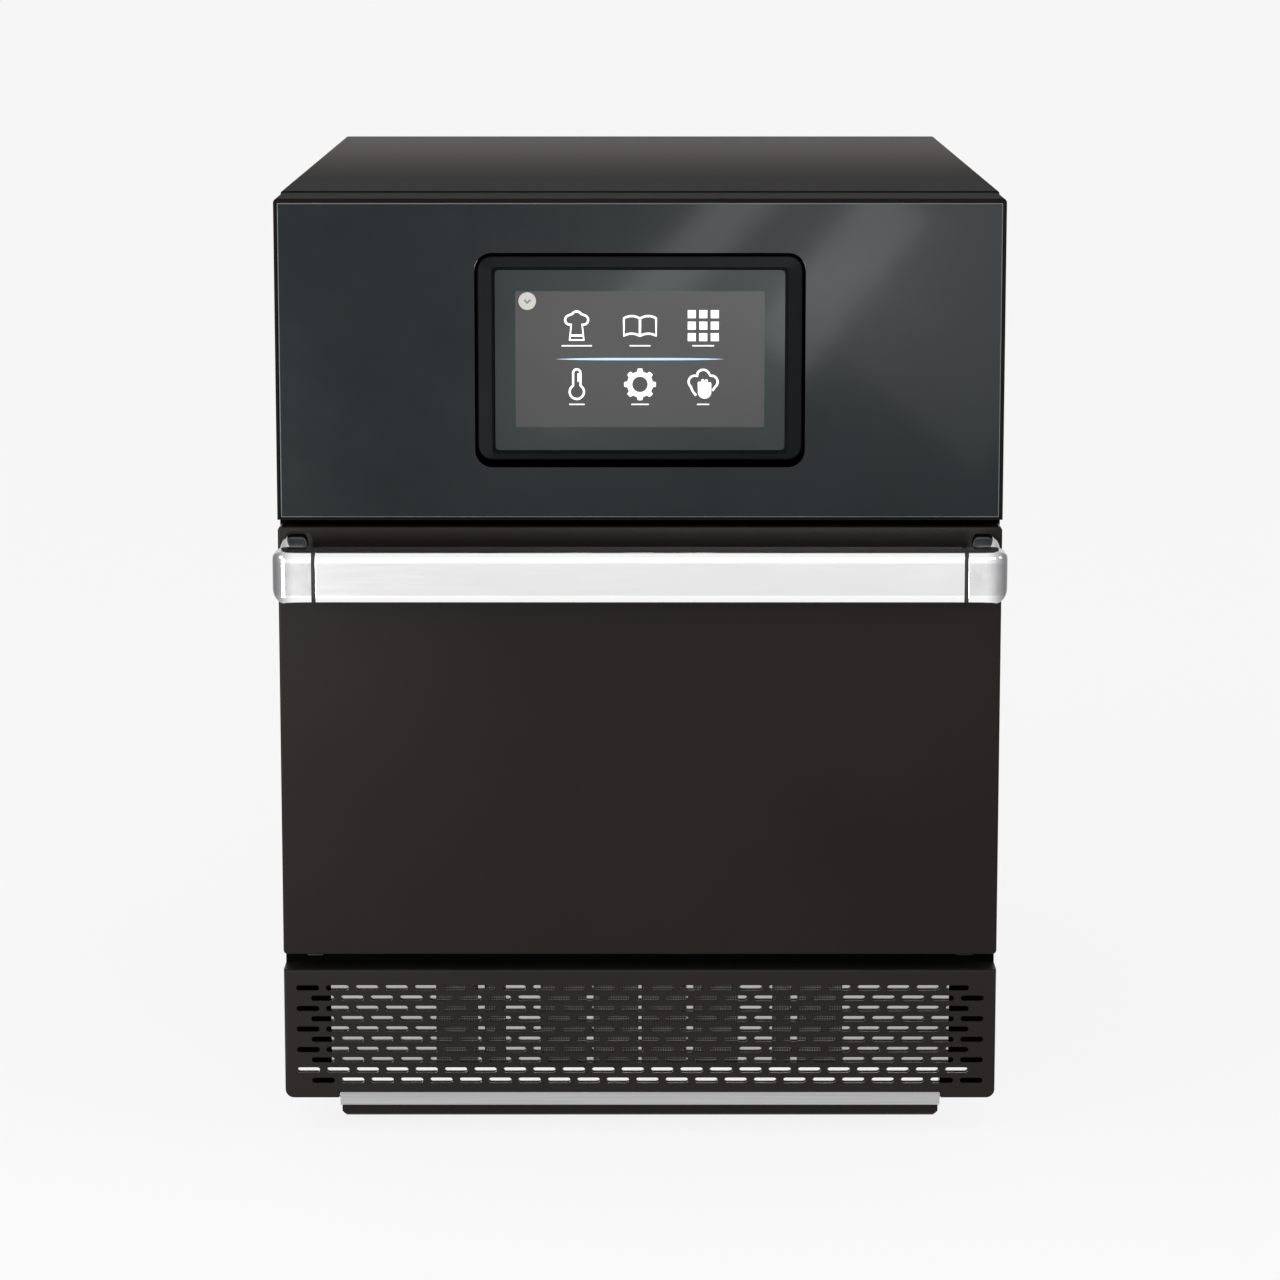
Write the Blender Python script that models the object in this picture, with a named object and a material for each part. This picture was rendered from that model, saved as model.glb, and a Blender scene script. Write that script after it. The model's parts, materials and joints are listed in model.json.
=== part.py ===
"""A countertop speed oven, in metres: X to the right, Y to the back, Z up, feet on Z = 0."""

import math

import bmesh
import bpy

# Overall sizes and the levels of the front
CASE_WIDTH = 0.457
CASE_DEPTH = 0.690
FOOT_HEIGHT = 0.012
PANEL_RAISE = 0.012
PANEL_HEIGHT = 0.085
DOOR_GAP_LOW = 0.010
DOOR_HEIGHT = 0.277
DOOR_GAP_HIGH = 0.0043
FASCIA_HEIGHT = 0.2027
FRONT_DEPTH = 0.021
HOUSING_DEPTH = 0.058
HANDLE_REACH = 0.050
GLAND_REACH = 0.020

# Sheet thicknesses and clearances
SHEET = 0.0012
GAP = 0.0003
CUT_OVERRUN = 0.004

# Counts of facets
ARC_STEPS = 3
SMOOTH_ARC_STEPS = 4
ROUND_STEPS = 16
SMALL_STEPS = 10
PIN_STEPS = 8
DISC_STEPS = 30
SHARP_DEGREES = 35

HALF = CASE_WIDTH / 2
FRONT = (HANDLE_REACH - CASE_DEPTH - GLAND_REACH) / 2
REAR = FRONT + CASE_DEPTH
PANEL_LOW = FOOT_HEIGHT + PANEL_RAISE
PANEL_HIGH = PANEL_LOW + PANEL_HEIGHT
DOOR_LOW = PANEL_HIGH + DOOR_GAP_LOW
DOOR_HIGH = DOOR_LOW + DOOR_HEIGHT
FASCIA_LOW = DOOR_HIGH + DOOR_GAP_HIGH
TOP = FASCIA_LOW + FASCIA_HEIGHT
FRAME_FRONT = FRONT + FRONT_DEPTH
SEAM = FRONT + HOUSING_DEPTH

# Finishes: colour, roughness, metallic
BLACK_PAINT = ((0.030, 0.026, 0.025), 0.35, 0.0)
DARK_GLASS = ((0.022, 0.030, 0.031), 0.10, 0.0)
BLACK_PLASTIC = ((0.008, 0.008, 0.008), 0.40, 0.0)
GREY_GLASS = ((0.045, 0.052, 0.052), 0.12, 0.0)
STEEL = ((0.55, 0.55, 0.54), 0.28, 1.0)
SATIN_METAL = ((0.78, 0.78, 0.78), 0.25, 1.0)
ZINC = ((0.45, 0.46, 0.48), 0.45, 1.0)
WOOL = ((0.62, 0.58, 0.48), 0.95, 0.0)
RUBBER = ((0.020, 0.020, 0.020), 0.80, 0.0)
SEAL = ((0.35, 0.33, 0.30), 0.75, 0.0)
BOARD = ((0.020, 0.120, 0.050), 0.50, 0.0)
CERAMIC = ((0.70, 0.68, 0.62), 0.60, 0.0)


def along_x(u, v, w):
    """Outline in Y and Z, drawn out along X."""
    return (w, u, v)


def along_y(u, v, w):
    """Outline in X and Z, drawn out along Y."""
    return (u, w, v)


def along_z(u, v, w):
    """Outline in X and Y, drawn out along Z."""
    return (u, v, w)


def arc(centre, radius, start, turn, steps):
    """Points on an arc given in degrees, both ends included."""
    angles = [math.radians(start + turn * i / steps) for i in range(steps + 1)]
    return [(centre[0] + radius * math.cos(a), centre[1] + radius * math.sin(a)) for a in angles]


def circle(centre, radius, steps=ROUND_STEPS):
    return arc(centre, radius, 0, 360, steps)[:-1]


def rectangle(low, high):
    return [(low[0], low[1]), (high[0], low[1]), (high[0], high[1]), (low[0], high[1])]


def rounded(low, high, radius, steps=ARC_STEPS):
    """Rectangle with round corners, from its lower left one."""
    points = arc((low[0] + radius, low[1] + radius), radius, 180, 90, steps)
    points += arc((high[0] - radius, low[1] + radius), radius, 270, 90, steps)
    points += arc((high[0] - radius, high[1] - radius), radius, 0, 90, steps)
    points += arc((low[0] + radius, high[1] - radius), radius, 90, 90, steps)
    return points


def slot(centre, length, width, steps=2, upright=False):
    """Slot with round ends, lying along the first direction unless upright."""
    reach = (length - width) / 2
    radius = width / 2
    points = arc((reach, 0), radius, -90, 180, steps) + arc((-reach, 0), radius, 90, 180, steps)
    if upright:
        points = [(v, u) for u, v in points]
    return [(centre[0] + u, centre[1] + v) for u, v in points]


def moved(points, u, v):
    return [(point[0] + u, point[1] + v) for point in points]


def turned_by(points, degrees):
    """Points turned about the origin of their plane."""
    c = math.cos(math.radians(degrees))
    s = math.sin(math.radians(degrees))
    return [(u * c - v * s, u * s + v * c) for u, v in points]


def loop(bm, place, points, offset):
    return [bm.verts.new(place(u, v, offset)) for u, v in points]


def bridge(bm, first, second):
    """Wall between two loops of as many points."""
    for i in range(len(first)):
        bm.faces.new((first[i - 1], first[i], second[i], second[i - 1]))


def cap(bm, loops):
    """Flat face inside the first loop and outside the others."""
    if len(loops) == 1:
        bm.faces.new(loops[0])
        return
    edges = []
    for verts in loops:
        for i in range(len(verts)):
            pair = (verts[i - 1], verts[i])
            edges.append(bm.edges.get(pair) or bm.edges.new(pair))
    bmesh.ops.triangle_fill(bm, use_beauty=True, edges=edges)


def add(name, bm, finish, pivot=None):
    """Makes a shape an object with its own material, carried by a pivot if one is given."""
    bmesh.ops.recalc_face_normals(bm, faces=bm.faces[:])
    mesh = bpy.data.meshes.new(name)
    bm.to_mesh(mesh)
    bm.free()
    mesh.shade_smooth()
    mesh.set_sharp_from_angle(angle=math.radians(SHARP_DEGREES))
    obj = bpy.data.objects.new(name, mesh)
    bpy.context.collection.objects.link(obj)
    set_finish(obj, finish)
    if pivot:
        carry(obj, pivot)
    return obj


def set_finish(obj, finish):
    colour, roughness, metallic = finish
    material = bpy.data.materials.new(obj.name)
    material.use_nodes = True
    shader = material.node_tree.nodes["Principled BSDF"]
    shader.inputs["Base Color"].default_value = (*colour, 1)
    shader.inputs["Roughness"].default_value = roughness
    shader.inputs["Metallic"].default_value = metallic
    material.diffuse_color = (*colour, 1)
    obj.data.materials.append(material)


def carry(obj, pivot):
    obj.parent = pivot
    obj.matrix_parent_inverse = pivot.matrix_world.inverted()


def add_pivot(name, place):
    """Empty on a joint's axis, which carries the pieces that move there."""
    pivot = bpy.data.objects.new(name, None)
    pivot.location = place
    bpy.context.collection.objects.link(pivot)
    bpy.context.view_layer.update()
    return pivot


def combine(obj, name, bm, operation):
    """Joins a shape to an object, or cuts it out, with a Boolean."""
    bmesh.ops.recalc_face_normals(bm, faces=bm.faces[:])
    mesh = bpy.data.meshes.new(name)
    bm.to_mesh(mesh)
    bm.free()
    tool = bpy.data.objects.new(name, mesh)
    bpy.context.collection.objects.link(tool)
    tool.hide_render = True
    tool.display_type = "WIRE"
    modifier = obj.modifiers.new(name, "BOOLEAN")
    modifier.operation = operation
    modifier.object = tool


def join(obj, name, bm):
    combine(obj, name, bm, "UNION")


def cut(obj, name, bm):
    combine(obj, name, bm, "DIFFERENCE")


def prism(place, loops, start, end):
    """Outline with its holes, drawn out from start to end."""
    bm = bmesh.new()
    near = [loop(bm, place, points, start) for points in loops]
    far = [loop(bm, place, points, end) for points in loops]
    cap(bm, near)
    cap(bm, far)
    for first, second in zip(near, far):
        bridge(bm, first, second)
    return bm


def pan(place, outline, inside, holes, start, wall, depth, edge=None):
    """Tray: a flat wall at start with holes, and sides that run to start + depth.

    edge gives the smaller outline of the flat wall and how far back the full one begins."""
    bm = bmesh.new()
    rim = loop(bm, place, outline, start + depth)
    rim_inside = loop(bm, place, inside, start + depth)
    floor_inside = loop(bm, place, inside, start + wall)
    front_holes = [loop(bm, place, points, start) for points in holes]
    back_holes = [loop(bm, place, points, start + wall) for points in holes]
    if edge:
        shoulder = loop(bm, place, outline, start + edge[1])
        face = loop(bm, place, edge[0], start)
        bridge(bm, face, shoulder)
    else:
        shoulder = loop(bm, place, outline, start)
        face = shoulder
    bridge(bm, shoulder, rim)
    bridge(bm, rim, rim_inside)
    bridge(bm, rim_inside, floor_inside)
    for first, second in zip(front_holes, back_holes):
        bridge(bm, first, second)
    cap(bm, [face] + front_holes)
    cap(bm, [floor_inside] + back_holes)
    return bm


def turned(place, centre, profile, steps=ROUND_STEPS, closed=False):
    """Round piece from (radius, offset) points, spun about the axis through centre."""
    bm = bmesh.new()
    rings = []
    for radius, offset in profile:
        if radius:
            rings.append(loop(bm, place, circle(centre, radius, steps), offset))
        else:
            rings.append([bm.verts.new(place(*centre, offset))])
    if closed:
        rings.append(rings[0])
    for first, second in zip(rings, rings[1:]):
        if len(first) == len(second):
            bridge(bm, first, second)
            continue
        tip, ring = (first, second) if len(first) == 1 else (second, first)
        for i in range(steps):
            bm.faces.new((ring[i - 1], ring[i], tip[0]))
    return bm


def inset_box(low, high, wall):
    return (low[0] + wall, low[1] + wall), (high[0] - wall, high[1] - wall)


# Feet and chassis
FOOT_RADIUS = 0.019
FOOT_TAPER = 0.002
FOOT_EDGE = 0.0015
STUD_RADIUS = 0.003
STUD_END = 0.004
FOOT_INSET_SIDE = 0.045
FOOT_INSET_FRONT = 0.095
FOOT_INSET_REAR = 0.050
BASE_SETBACK = 0.050
FLANGE_HEIGHT = 0.022
PLINTH_INSET = 0.0365
PLINTH_HEIGHT = 0.0072
PLINTH_CHAMFER = 0.003
PLINTH_SETBACK = 0.002
BASE_SLOT_LENGTH = 0.060
BASE_SLOT_WIDTH = 0.006
BASE_SLOT_PITCH = 0.014
BASE_SLOTS = 5


def foot_places():
    side = HALF - FOOT_INSET_SIDE
    front = FRONT + FOOT_INSET_FRONT
    rear = REAR - FOOT_INSET_REAR
    return {
        "front_left": (-side, front),
        "front_right": (side, front),
        "rear_left": (-side, rear),
        "rear_right": (side, rear),
    }


def make_feet():
    profile = [
        (0, 0),
        (FOOT_RADIUS - FOOT_EDGE, 0),
        (FOOT_RADIUS, FOOT_EDGE),
        (FOOT_RADIUS - FOOT_TAPER, FOOT_HEIGHT - GAP),
        (STUD_RADIUS, FOOT_HEIGHT - GAP),
        (STUD_RADIUS, FOOT_HEIGHT + SHEET + STUD_END),
        (0, FOOT_HEIGHT + SHEET + STUD_END),
    ]
    for name, centre in foot_places().items():
        add(f"foot_{name}", turned(along_z, centre, profile), RUBBER)


def make_base_pan():
    low = (-HALF + SHEET + GAP, FRONT + BASE_SETBACK)
    high = (HALF - SHEET - GAP, REAR - SHEET - GAP)
    inside = inset_box(low, high, SHEET)
    holes = [circle(centre, STUD_RADIUS + GAP, SMALL_STEPS) for centre in foot_places().values()]
    middle = (low[1] + high[1]) / 2
    for i in range(BASE_SLOTS):
        across = (i - (BASE_SLOTS - 1) / 2) * BASE_SLOT_PITCH
        holes.append(slot((0, middle + across), BASE_SLOT_LENGTH, BASE_SLOT_WIDTH))
    shape = pan(
        along_z, rectangle(low, high), rectangle(*inside), holes, FOOT_HEIGHT, SHEET, FLANGE_HEIGHT
    )
    base = add("base_pan", shape, ZINC)
    outline = rectangle(
        (low[0] - CUT_OVERRUN, PANEL_LOW - GAP), (high[0] + CUT_OVERRUN, PANEL_LOW + FLANGE_HEIGHT)
    )
    opening = prism(along_y, [outline], low[1] - CUT_OVERRUN, SEAM + GAP)
    cut(base, "cut_base_under_frame", opening)


def make_plinth_strip():
    low = FOOT_HEIGHT
    high = FOOT_HEIGHT + PLINTH_HEIGHT
    front = FRONT + PLINTH_SETBACK
    rear = FRONT + BASE_SETBACK - GAP
    outline = [
        (front, high),
        (front, low + PLINTH_CHAMFER / 2),
        (front + PLINTH_CHAMFER / 2, low),
        (rear, low),
        (rear, low + SHEET),
        (front + SHEET + PLINTH_CHAMFER / 2, low + SHEET),
        (front + SHEET, low + SHEET + PLINTH_CHAMFER / 2),
        (front + SHEET, high),
    ]
    half = HALF - PLINTH_INSET
    strip = add("plinth_strip", prism(along_x, [outline], -half, half), BLACK_PAINT)
    for side, sign in (("left", -1), ("right", 1)):
        corner = [
            (sign * (half + CUT_OVERRUN), low - CUT_OVERRUN),
            (sign * (half - PLINTH_CHAMFER - CUT_OVERRUN), low - CUT_OVERRUN),
            (sign * (half + CUT_OVERRUN), low + PLINTH_CHAMFER + CUT_OVERRUN),
        ]
        shape = prism(along_y, [corner], front - CUT_OVERRUN, rear + CUT_OVERRUN)
        cut(strip, f"cut_plinth_{side}", shape)


# Oven cavity
CAVITY_SIDE_ROOM = 0.0255
CAVITY_ROOF_ROOM = 0.061
CAVITY_REAR_ROOM = 0.280
CAVITY_RAISE = 0.031
CAVITY_WALL = 0.0015
CAVITY_RADIUS = 0.012
LEDGE_RAISE = 0.014
LEDGE_DEPTH = 0.007
LEDGE_HEIGHT = 0.005
SUCTION_MARGIN = 0.0225
OUTLET_MARGIN = 0.053
OUTLET_HEIGHT = 0.006
PLENUM = 0.009

CAVITY_WIDTH = CASE_WIDTH - 2 * CAVITY_SIDE_ROOM
CAVITY_HEIGHT = DOOR_HEIGHT - CAVITY_RAISE - CAVITY_ROOF_ROOM
CAVITY_DEPTH = CASE_DEPTH - CAVITY_REAR_ROOM
CAVITY_HALF = CAVITY_WIDTH / 2
CAVITY_LOW = DOOR_LOW + CAVITY_RAISE
CAVITY_HIGH = CAVITY_LOW + CAVITY_HEIGHT
CAVITY_FRONT = FRAME_FRONT + SHEET + GAP
CAVITY_REAR = CAVITY_FRONT + CAVITY_DEPTH
CAVITY_BACK = CAVITY_REAR + CAVITY_WALL
CAVITY_MIDDLE = (CAVITY_LOW + CAVITY_HIGH) / 2
OUTLET_WIDTH = CAVITY_WIDTH - 2 * OUTLET_MARGIN
SUCTION_RADIUS = CAVITY_HEIGHT / 2 - SUCTION_MARGIN

# Front frame
INTAKE_INSET = 0.0405
INTAKE_LOW = 0.014
INTAKE_HIGH = 0.011
FINGER_INSET = 0.0435
FINGER_DROP = 0.016
FINGER_WIDTH = 0.006
FINGER_HEIGHT = 0.010
FINGER_PLAY = 0.003
FINGER_RISE = 0.006

INTAKE_HALF = HALF - INTAKE_INSET
FINGER_PLACE = HALF - FINGER_INSET
FINGER_LEVEL = DOOR_HIGH - FINGER_DROP


def finger_slot(sign, grow=0.0):
    """Opening that the interlock finger enters, in X and Z."""
    reach = FINGER_WIDTH / 2 + FINGER_PLAY + grow
    low = FINGER_LEVEL - FINGER_HEIGHT / 2 - FINGER_PLAY - grow
    high = FINGER_LEVEL + FINGER_HEIGHT / 2 + FINGER_RISE + grow
    middle = sign * FINGER_PLACE
    return rectangle((middle - reach, low), (middle + reach, high))


def make_front_frame():
    low = (-HALF, PANEL_LOW)
    high = (HALF, FASCIA_LOW - GAP)
    inside = inset_box(low, high, SHEET)
    holes = [
        rounded((-CAVITY_HALF, CAVITY_LOW), (CAVITY_HALF, CAVITY_HIGH), CAVITY_RADIUS),
        rectangle((-INTAKE_HALF, PANEL_LOW + INTAKE_LOW), (INTAKE_HALF, PANEL_HIGH - INTAKE_HIGH)),
        finger_slot(-1),
        finger_slot(1),
    ]
    shape = pan(
        along_y,
        rectangle(low, high),
        rectangle(*inside),
        holes,
        FRAME_FRONT,
        SHEET,
        HOUSING_DEPTH - FRONT_DEPTH,
    )
    add("front_frame", shape, BLACK_PAINT)


def cavity_outline(grow):
    """Cavity seen from the front, grown on all sides."""
    low = (-CAVITY_HALF - grow, CAVITY_LOW - grow)
    high = (CAVITY_HALF + grow, CAVITY_HIGH + grow)
    return rounded(low, high, CAVITY_RADIUS + grow)


def make_cavity_shell():
    outlet_high = CAVITY_HIGH - GAP - CAVITY_WALL
    holes = [
        circle((0, CAVITY_MIDDLE), SUCTION_RADIUS),
        rectangle((-OUTLET_WIDTH / 2, outlet_high - OUTLET_HEIGHT), (OUTLET_WIDTH / 2, outlet_high)),
    ]
    shape = pan(
        along_y,
        cavity_outline(CAVITY_WALL),
        cavity_outline(0),
        holes,
        CAVITY_BACK,
        -CAVITY_WALL,
        CAVITY_FRONT - CAVITY_BACK,
    )
    shell = add("cavity_shell", shape, STEEL)
    ledge = CAVITY_LOW + LEDGE_RAISE
    for side, sign in (("left", -1), ("right", 1)):
        outline = [
            (sign * (CAVITY_HALF + CAVITY_WALL / 2), ledge),
            (sign * (CAVITY_HALF - LEDGE_DEPTH), ledge),
            (sign * (CAVITY_HALF - LEDGE_DEPTH), ledge - LEDGE_HEIGHT / 2),
            (sign * (CAVITY_HALF + CAVITY_WALL / 2), ledge - LEDGE_HEIGHT),
        ]
        shape = prism(along_y, [outline], CAVITY_FRONT + PLATE_SETBACK, CAVITY_REAR + CAVITY_WALL / 2)
        join(shell, f"ledge_{side}", shape)


# Cook plate, impinger plate and suction cover
PLATE_PLAY = 0.0025
PLATE_THICKNESS = 0.0025
PLATE_RIM = 0.009
PLATE_SETBACK = 0.014
PLATE_REAR_PLAY = 0.011
PLATE_RADIUS = 0.010
JET_RADIUS = 0.0075
JET_MARGIN_SIDE = 0.033
JET_MARGIN_END = 0.0315
JET_COLUMNS = 6
JET_ROWS = 6
JET_STEPS = 6
IMPINGER_PLAY = 0.003
COVER_MARGIN = 0.012
COVER_SLOT_LENGTH = 0.017
COVER_SLOT_WIDTH = 0.0045
COVER_RING_SHARES = ((0.415, 16), (0.695, 26))

COVER_RADIUS = SUCTION_RADIUS + COVER_MARGIN


def make_cook_plate(pivot):
    half = CAVITY_HALF - PLATE_PLAY
    front = CAVITY_FRONT + PLATE_SETBACK
    low = (-half, front)
    high = (half, CAVITY_REAR - PLATE_REAR_PLAY)
    inside = inset_box(low, high, PLATE_THICKNESS)
    shape = pan(
        along_z,
        rounded(low, high, PLATE_RADIUS),
        rounded(*inside, PLATE_RADIUS - PLATE_THICKNESS),
        [],
        CAVITY_LOW + LEDGE_RAISE + GAP,
        PLATE_THICKNESS,
        PLATE_RIM,
    )
    add("cook_plate", shape, STEEL, pivot)


def make_impinger_plate():
    half = CAVITY_HALF - CAVITY_RADIUS - GAP
    low = (-half, CAVITY_FRONT + PLATE_SETBACK)
    high = (half, CAVITY_REAR - IMPINGER_PLAY)
    inside = inset_box(low, high, CAVITY_WALL)
    pitch_x = (2 * half - 2 * JET_MARGIN_SIDE) / (JET_COLUMNS - 1)
    pitch_y = (high[1] - low[1] - 2 * JET_MARGIN_END) / (JET_ROWS - 1)
    holes = []
    for i in range(JET_COLUMNS):
        for k in range(JET_ROWS):
            x = low[0] + JET_MARGIN_SIDE + i * pitch_x
            y = low[1] + JET_MARGIN_END + k * pitch_y
            holes.append(circle((x, y), JET_RADIUS, JET_STEPS))
    start = CAVITY_HIGH - PLENUM - CAVITY_WALL
    shape = pan(
        along_z,
        rounded(low, high, PLATE_RADIUS),
        rounded(*inside, PLATE_RADIUS - CAVITY_WALL),
        holes,
        start,
        CAVITY_WALL,
        CAVITY_HIGH - GAP - start,
    )
    plate = add("impinger_plate", shape, STEEL)
    inlet = prism(
        along_y,
        [
            rectangle(
                (-OUTLET_WIDTH / 2, start + CAVITY_WALL + GAP), (OUTLET_WIDTH / 2, CAVITY_HIGH + GAP)
            )
        ],
        high[1] - CUT_OVERRUN,
        high[1] + CUT_OVERRUN,
    )
    cut(plate, "cut_impinger_inlet", inlet)


def make_fan_cover():
    centre = (0, CAVITY_MIDDLE)
    holes = []
    for share, count in COVER_RING_SHARES:
        for i in range(count):
            one = slot((share * COVER_RADIUS, 0), COVER_SLOT_LENGTH, COVER_SLOT_WIDTH, steps=1)
            holes.append(moved(turned_by(one, 360 * i / count), *centre))
    rear = CAVITY_REAR - GAP
    shape = prism(along_y, [circle(centre, COVER_RADIUS, DISC_STEPS)] + holes, rear - CAVITY_WALL, rear)
    add("fan_cover", shape, STEEL)


# Insulation, fan chamber, fan, heater and motor
WOOL_THICKNESS = 0.019
CHAMBER_SIDE_ROOM = 0.048
CHAMBER_DEPTH = 0.062
CHAMBER_MARGIN = 0.006
SHAFT_RADIUS = 0.004
SHAFT_PLAY = 0.0005
FAN_MARGIN = 0.010
FAN_HUB_RADIUS = 0.014
FAN_BLADES = 10
FAN_BLADE_DEPTH = 0.026
FAN_SETBACK = 0.010
FAN_DISC = 0.002
FAN_BLADE_THICKNESS = 0.003
FAN_BLADE_LEAN = 24
HEATER_OUTSET = 0.016
HEATER_TUBE = 0.0035
HEATER_TURNS = 2
HEATER_STEPS = 16
HEATER_PITCH = 0.012
HEATER_SETBACK = 0.018
HEATER_PLAY = 0.0008
HEATER_LEAD = 0.011
MOTOR_RADIUS = 0.042
MOTOR_LENGTH = 0.070
MOTOR_FLANGE = 0.055
MOTOR_FLANGE_DEPTH = 0.004
SHAFT_END = 0.030

CHAMBER_WIDTH = CAVITY_WIDTH - 2 * CHAMBER_SIDE_ROOM
FAN_RADIUS = SUCTION_RADIUS - FAN_MARGIN
HEATER_RADIUS = FAN_RADIUS + HEATER_OUTSET
CHAMBER_FRONT = CAVITY_BACK + GAP
CHAMBER_REAR = CHAMBER_FRONT + CHAMBER_DEPTH


def chamber_corners(grow=0.0):
    half = CHAMBER_WIDTH / 2 + grow
    low = (-half, CAVITY_LOW + CHAMBER_MARGIN - grow)
    return low, (half, CAVITY_HIGH + grow)


def make_insulation():
    near = CAVITY_WALL + GAP
    far = near + WOOL_THICKNESS
    shape = pan(
        along_y,
        cavity_outline(far),
        cavity_outline(near),
        [rectangle(*chamber_corners(GAP))],
        CAVITY_BACK + far,
        -WOOL_THICKNESS,
        CAVITY_FRONT - CAVITY_BACK - far,
    )
    add("insulation_jacket", shape, WOOL)


def heater_ends():
    """Where the two terminals of the heater leave the chamber, in X and Z."""
    return [(HEATER_RADIUS + HEATER_LEAD, CAVITY_MIDDLE), (-HEATER_RADIUS, CAVITY_MIDDLE)]


def make_fan_chamber():
    low, high = chamber_corners()
    inside = inset_box(low, high, CAVITY_WALL)
    holes = [circle((0, CAVITY_MIDDLE), SHAFT_RADIUS + SHAFT_PLAY, SMALL_STEPS)]
    for centre in heater_ends():
        holes.append(circle(centre, HEATER_TUBE + HEATER_PLAY, SMALL_STEPS))
    shape = pan(
        along_y,
        rectangle(low, high),
        rectangle(*inside),
        holes,
        CHAMBER_REAR,
        -CAVITY_WALL,
        -CHAMBER_DEPTH,
    )
    add("fan_chamber", shape, STEEL)


def make_heater():
    """Tube of two and a half turns about the fan, with both ends straight back through the chamber."""
    count = HEATER_TURNS * HEATER_STEPS + HEATER_STEPS // 2
    front = CHAMBER_FRONT + HEATER_SETBACK
    end = CHAMBER_REAR + MOTOR_FLANGE_DEPTH
    first, last = heater_ends()
    points = [(first[0], end, first[1]), (first[0], front, first[1])]
    for i in range(1, count + 1):
        angle = 2 * math.pi * i / HEATER_STEPS
        depth = front + HEATER_PITCH * i / HEATER_STEPS
        across = HEATER_RADIUS * math.cos(angle)
        points.append((across, depth, CAVITY_MIDDLE + HEATER_RADIUS * math.sin(angle)))
    points.append((last[0], end, last[1]))
    curve = bpy.data.curves.new("heater_element", "CURVE")
    curve.dimensions = "3D"
    curve.bevel_depth = HEATER_TUBE
    curve.bevel_resolution = 1
    curve.use_fill_caps = True
    spline = curve.splines.new("POLY")
    spline.points.add(len(points) - 1)
    for point, place in zip(spline.points, points):
        point.co = (*place, 1)
    obj = bpy.data.objects.new("heater_element", curve)
    bpy.context.collection.objects.link(obj)
    set_finish(obj, STEEL)


def star(blades, hub, tip, thickness, lean):
    """Outline of a rotor: straight blades on a hub, each leaning back by some degrees."""
    points = []
    step = 360 / blades
    root = math.degrees(thickness / 2 / hub)
    end = math.degrees(thickness / 2 / tip)
    for i in range(blades):
        middle = i * step
        for radius, angle in (
            (hub, middle - root),
            (tip, middle - end - lean),
            (tip, middle + end - lean),
            (hub, middle + root),
            (hub, middle + step / 2),
        ):
            points.append(arc((0, 0), radius, angle, 0, 1)[0])
    return points


def make_convection_fan(pivot):
    centre = (0, CAVITY_MIDDLE)
    front = CHAMBER_FRONT + FAN_SETBACK
    back = front + FAN_BLADE_DEPTH
    outline = star(FAN_BLADES, FAN_HUB_RADIUS, FAN_RADIUS, FAN_BLADE_THICKNESS, FAN_BLADE_LEAN)
    shape = prism(along_y, [moved(outline, *centre)], front, back + FAN_DISC / 2)
    fan = add("convection_fan", shape, STEEL, pivot)
    profile = [
        (0, back),
        (FAN_RADIUS, back),
        (FAN_RADIUS, back + FAN_DISC),
        (SHAFT_RADIUS, back + FAN_DISC),
        (SHAFT_RADIUS, CHAMBER_REAR + SHAFT_END),
        (0, CHAMBER_REAR + SHAFT_END),
    ]
    join(fan, "disc_and_shaft", turned(along_y, centre, profile, DISC_STEPS))


def make_convection_motor():
    bore = SHAFT_RADIUS + SHAFT_PLAY
    start = CHAMBER_REAR + GAP
    deep = CHAMBER_REAR + SHAFT_END + GAP
    end = start + MOTOR_LENGTH
    profile = [
        (0, deep),
        (bore, deep),
        (bore, start),
        (MOTOR_FLANGE, start),
        (MOTOR_FLANGE, start + MOTOR_FLANGE_DEPTH),
        (MOTOR_RADIUS, start + MOTOR_FLANGE_DEPTH),
        (MOTOR_RADIUS, end - MOTOR_FLANGE_DEPTH),
        (MOTOR_RADIUS - MOTOR_FLANGE_DEPTH, end),
        (0, end),
    ]
    add("convection_motor", turned(along_y, (0, CAVITY_MIDDLE), profile), ZINC)


# Microwave supply below the cavity, and the catalyst above it
GUIDE_SIDE_ROOM = 0.0885
GUIDE_HEIGHT = 0.030
GUIDE_DEPTH = 0.110
GUIDE_PLACE_SHARE = 1 / 3
GUIDE_WALL = 0.0015
MAGNETRON_INSET = 0.050
MAGNETRON_WIDTH = 0.084
MAGNETRON_DEPTH = 0.080
MAGNETRON_CLEAR = 0.0154
FIN_COUNT = 7
FIN_THICKNESS = 0.003
FIN_DEPTH = 0.016
SUPPLY_WIDTH = 0.130
SUPPLY_INSET = 0.0535
SUPPLY_REAR_CLEAR = 0.030
SUPPLY_CLEAR = 0.0214
SUPPLY_SETBACK = 0.085
SUPPLY_BASE = 0.026
SINK_FINS = 8
CATALYST_WIDTH = 0.150
CATALYST_DEPTH = 0.070
CATALYST_HEIGHT = 0.034
CATALYST_REAR_ROOM = 0.0325
CATALYST_CELL = 0.024
CATALYST_COLUMNS = 5
CATALYST_ROWS = 2
CATALYST_WEB = 0.004

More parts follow.
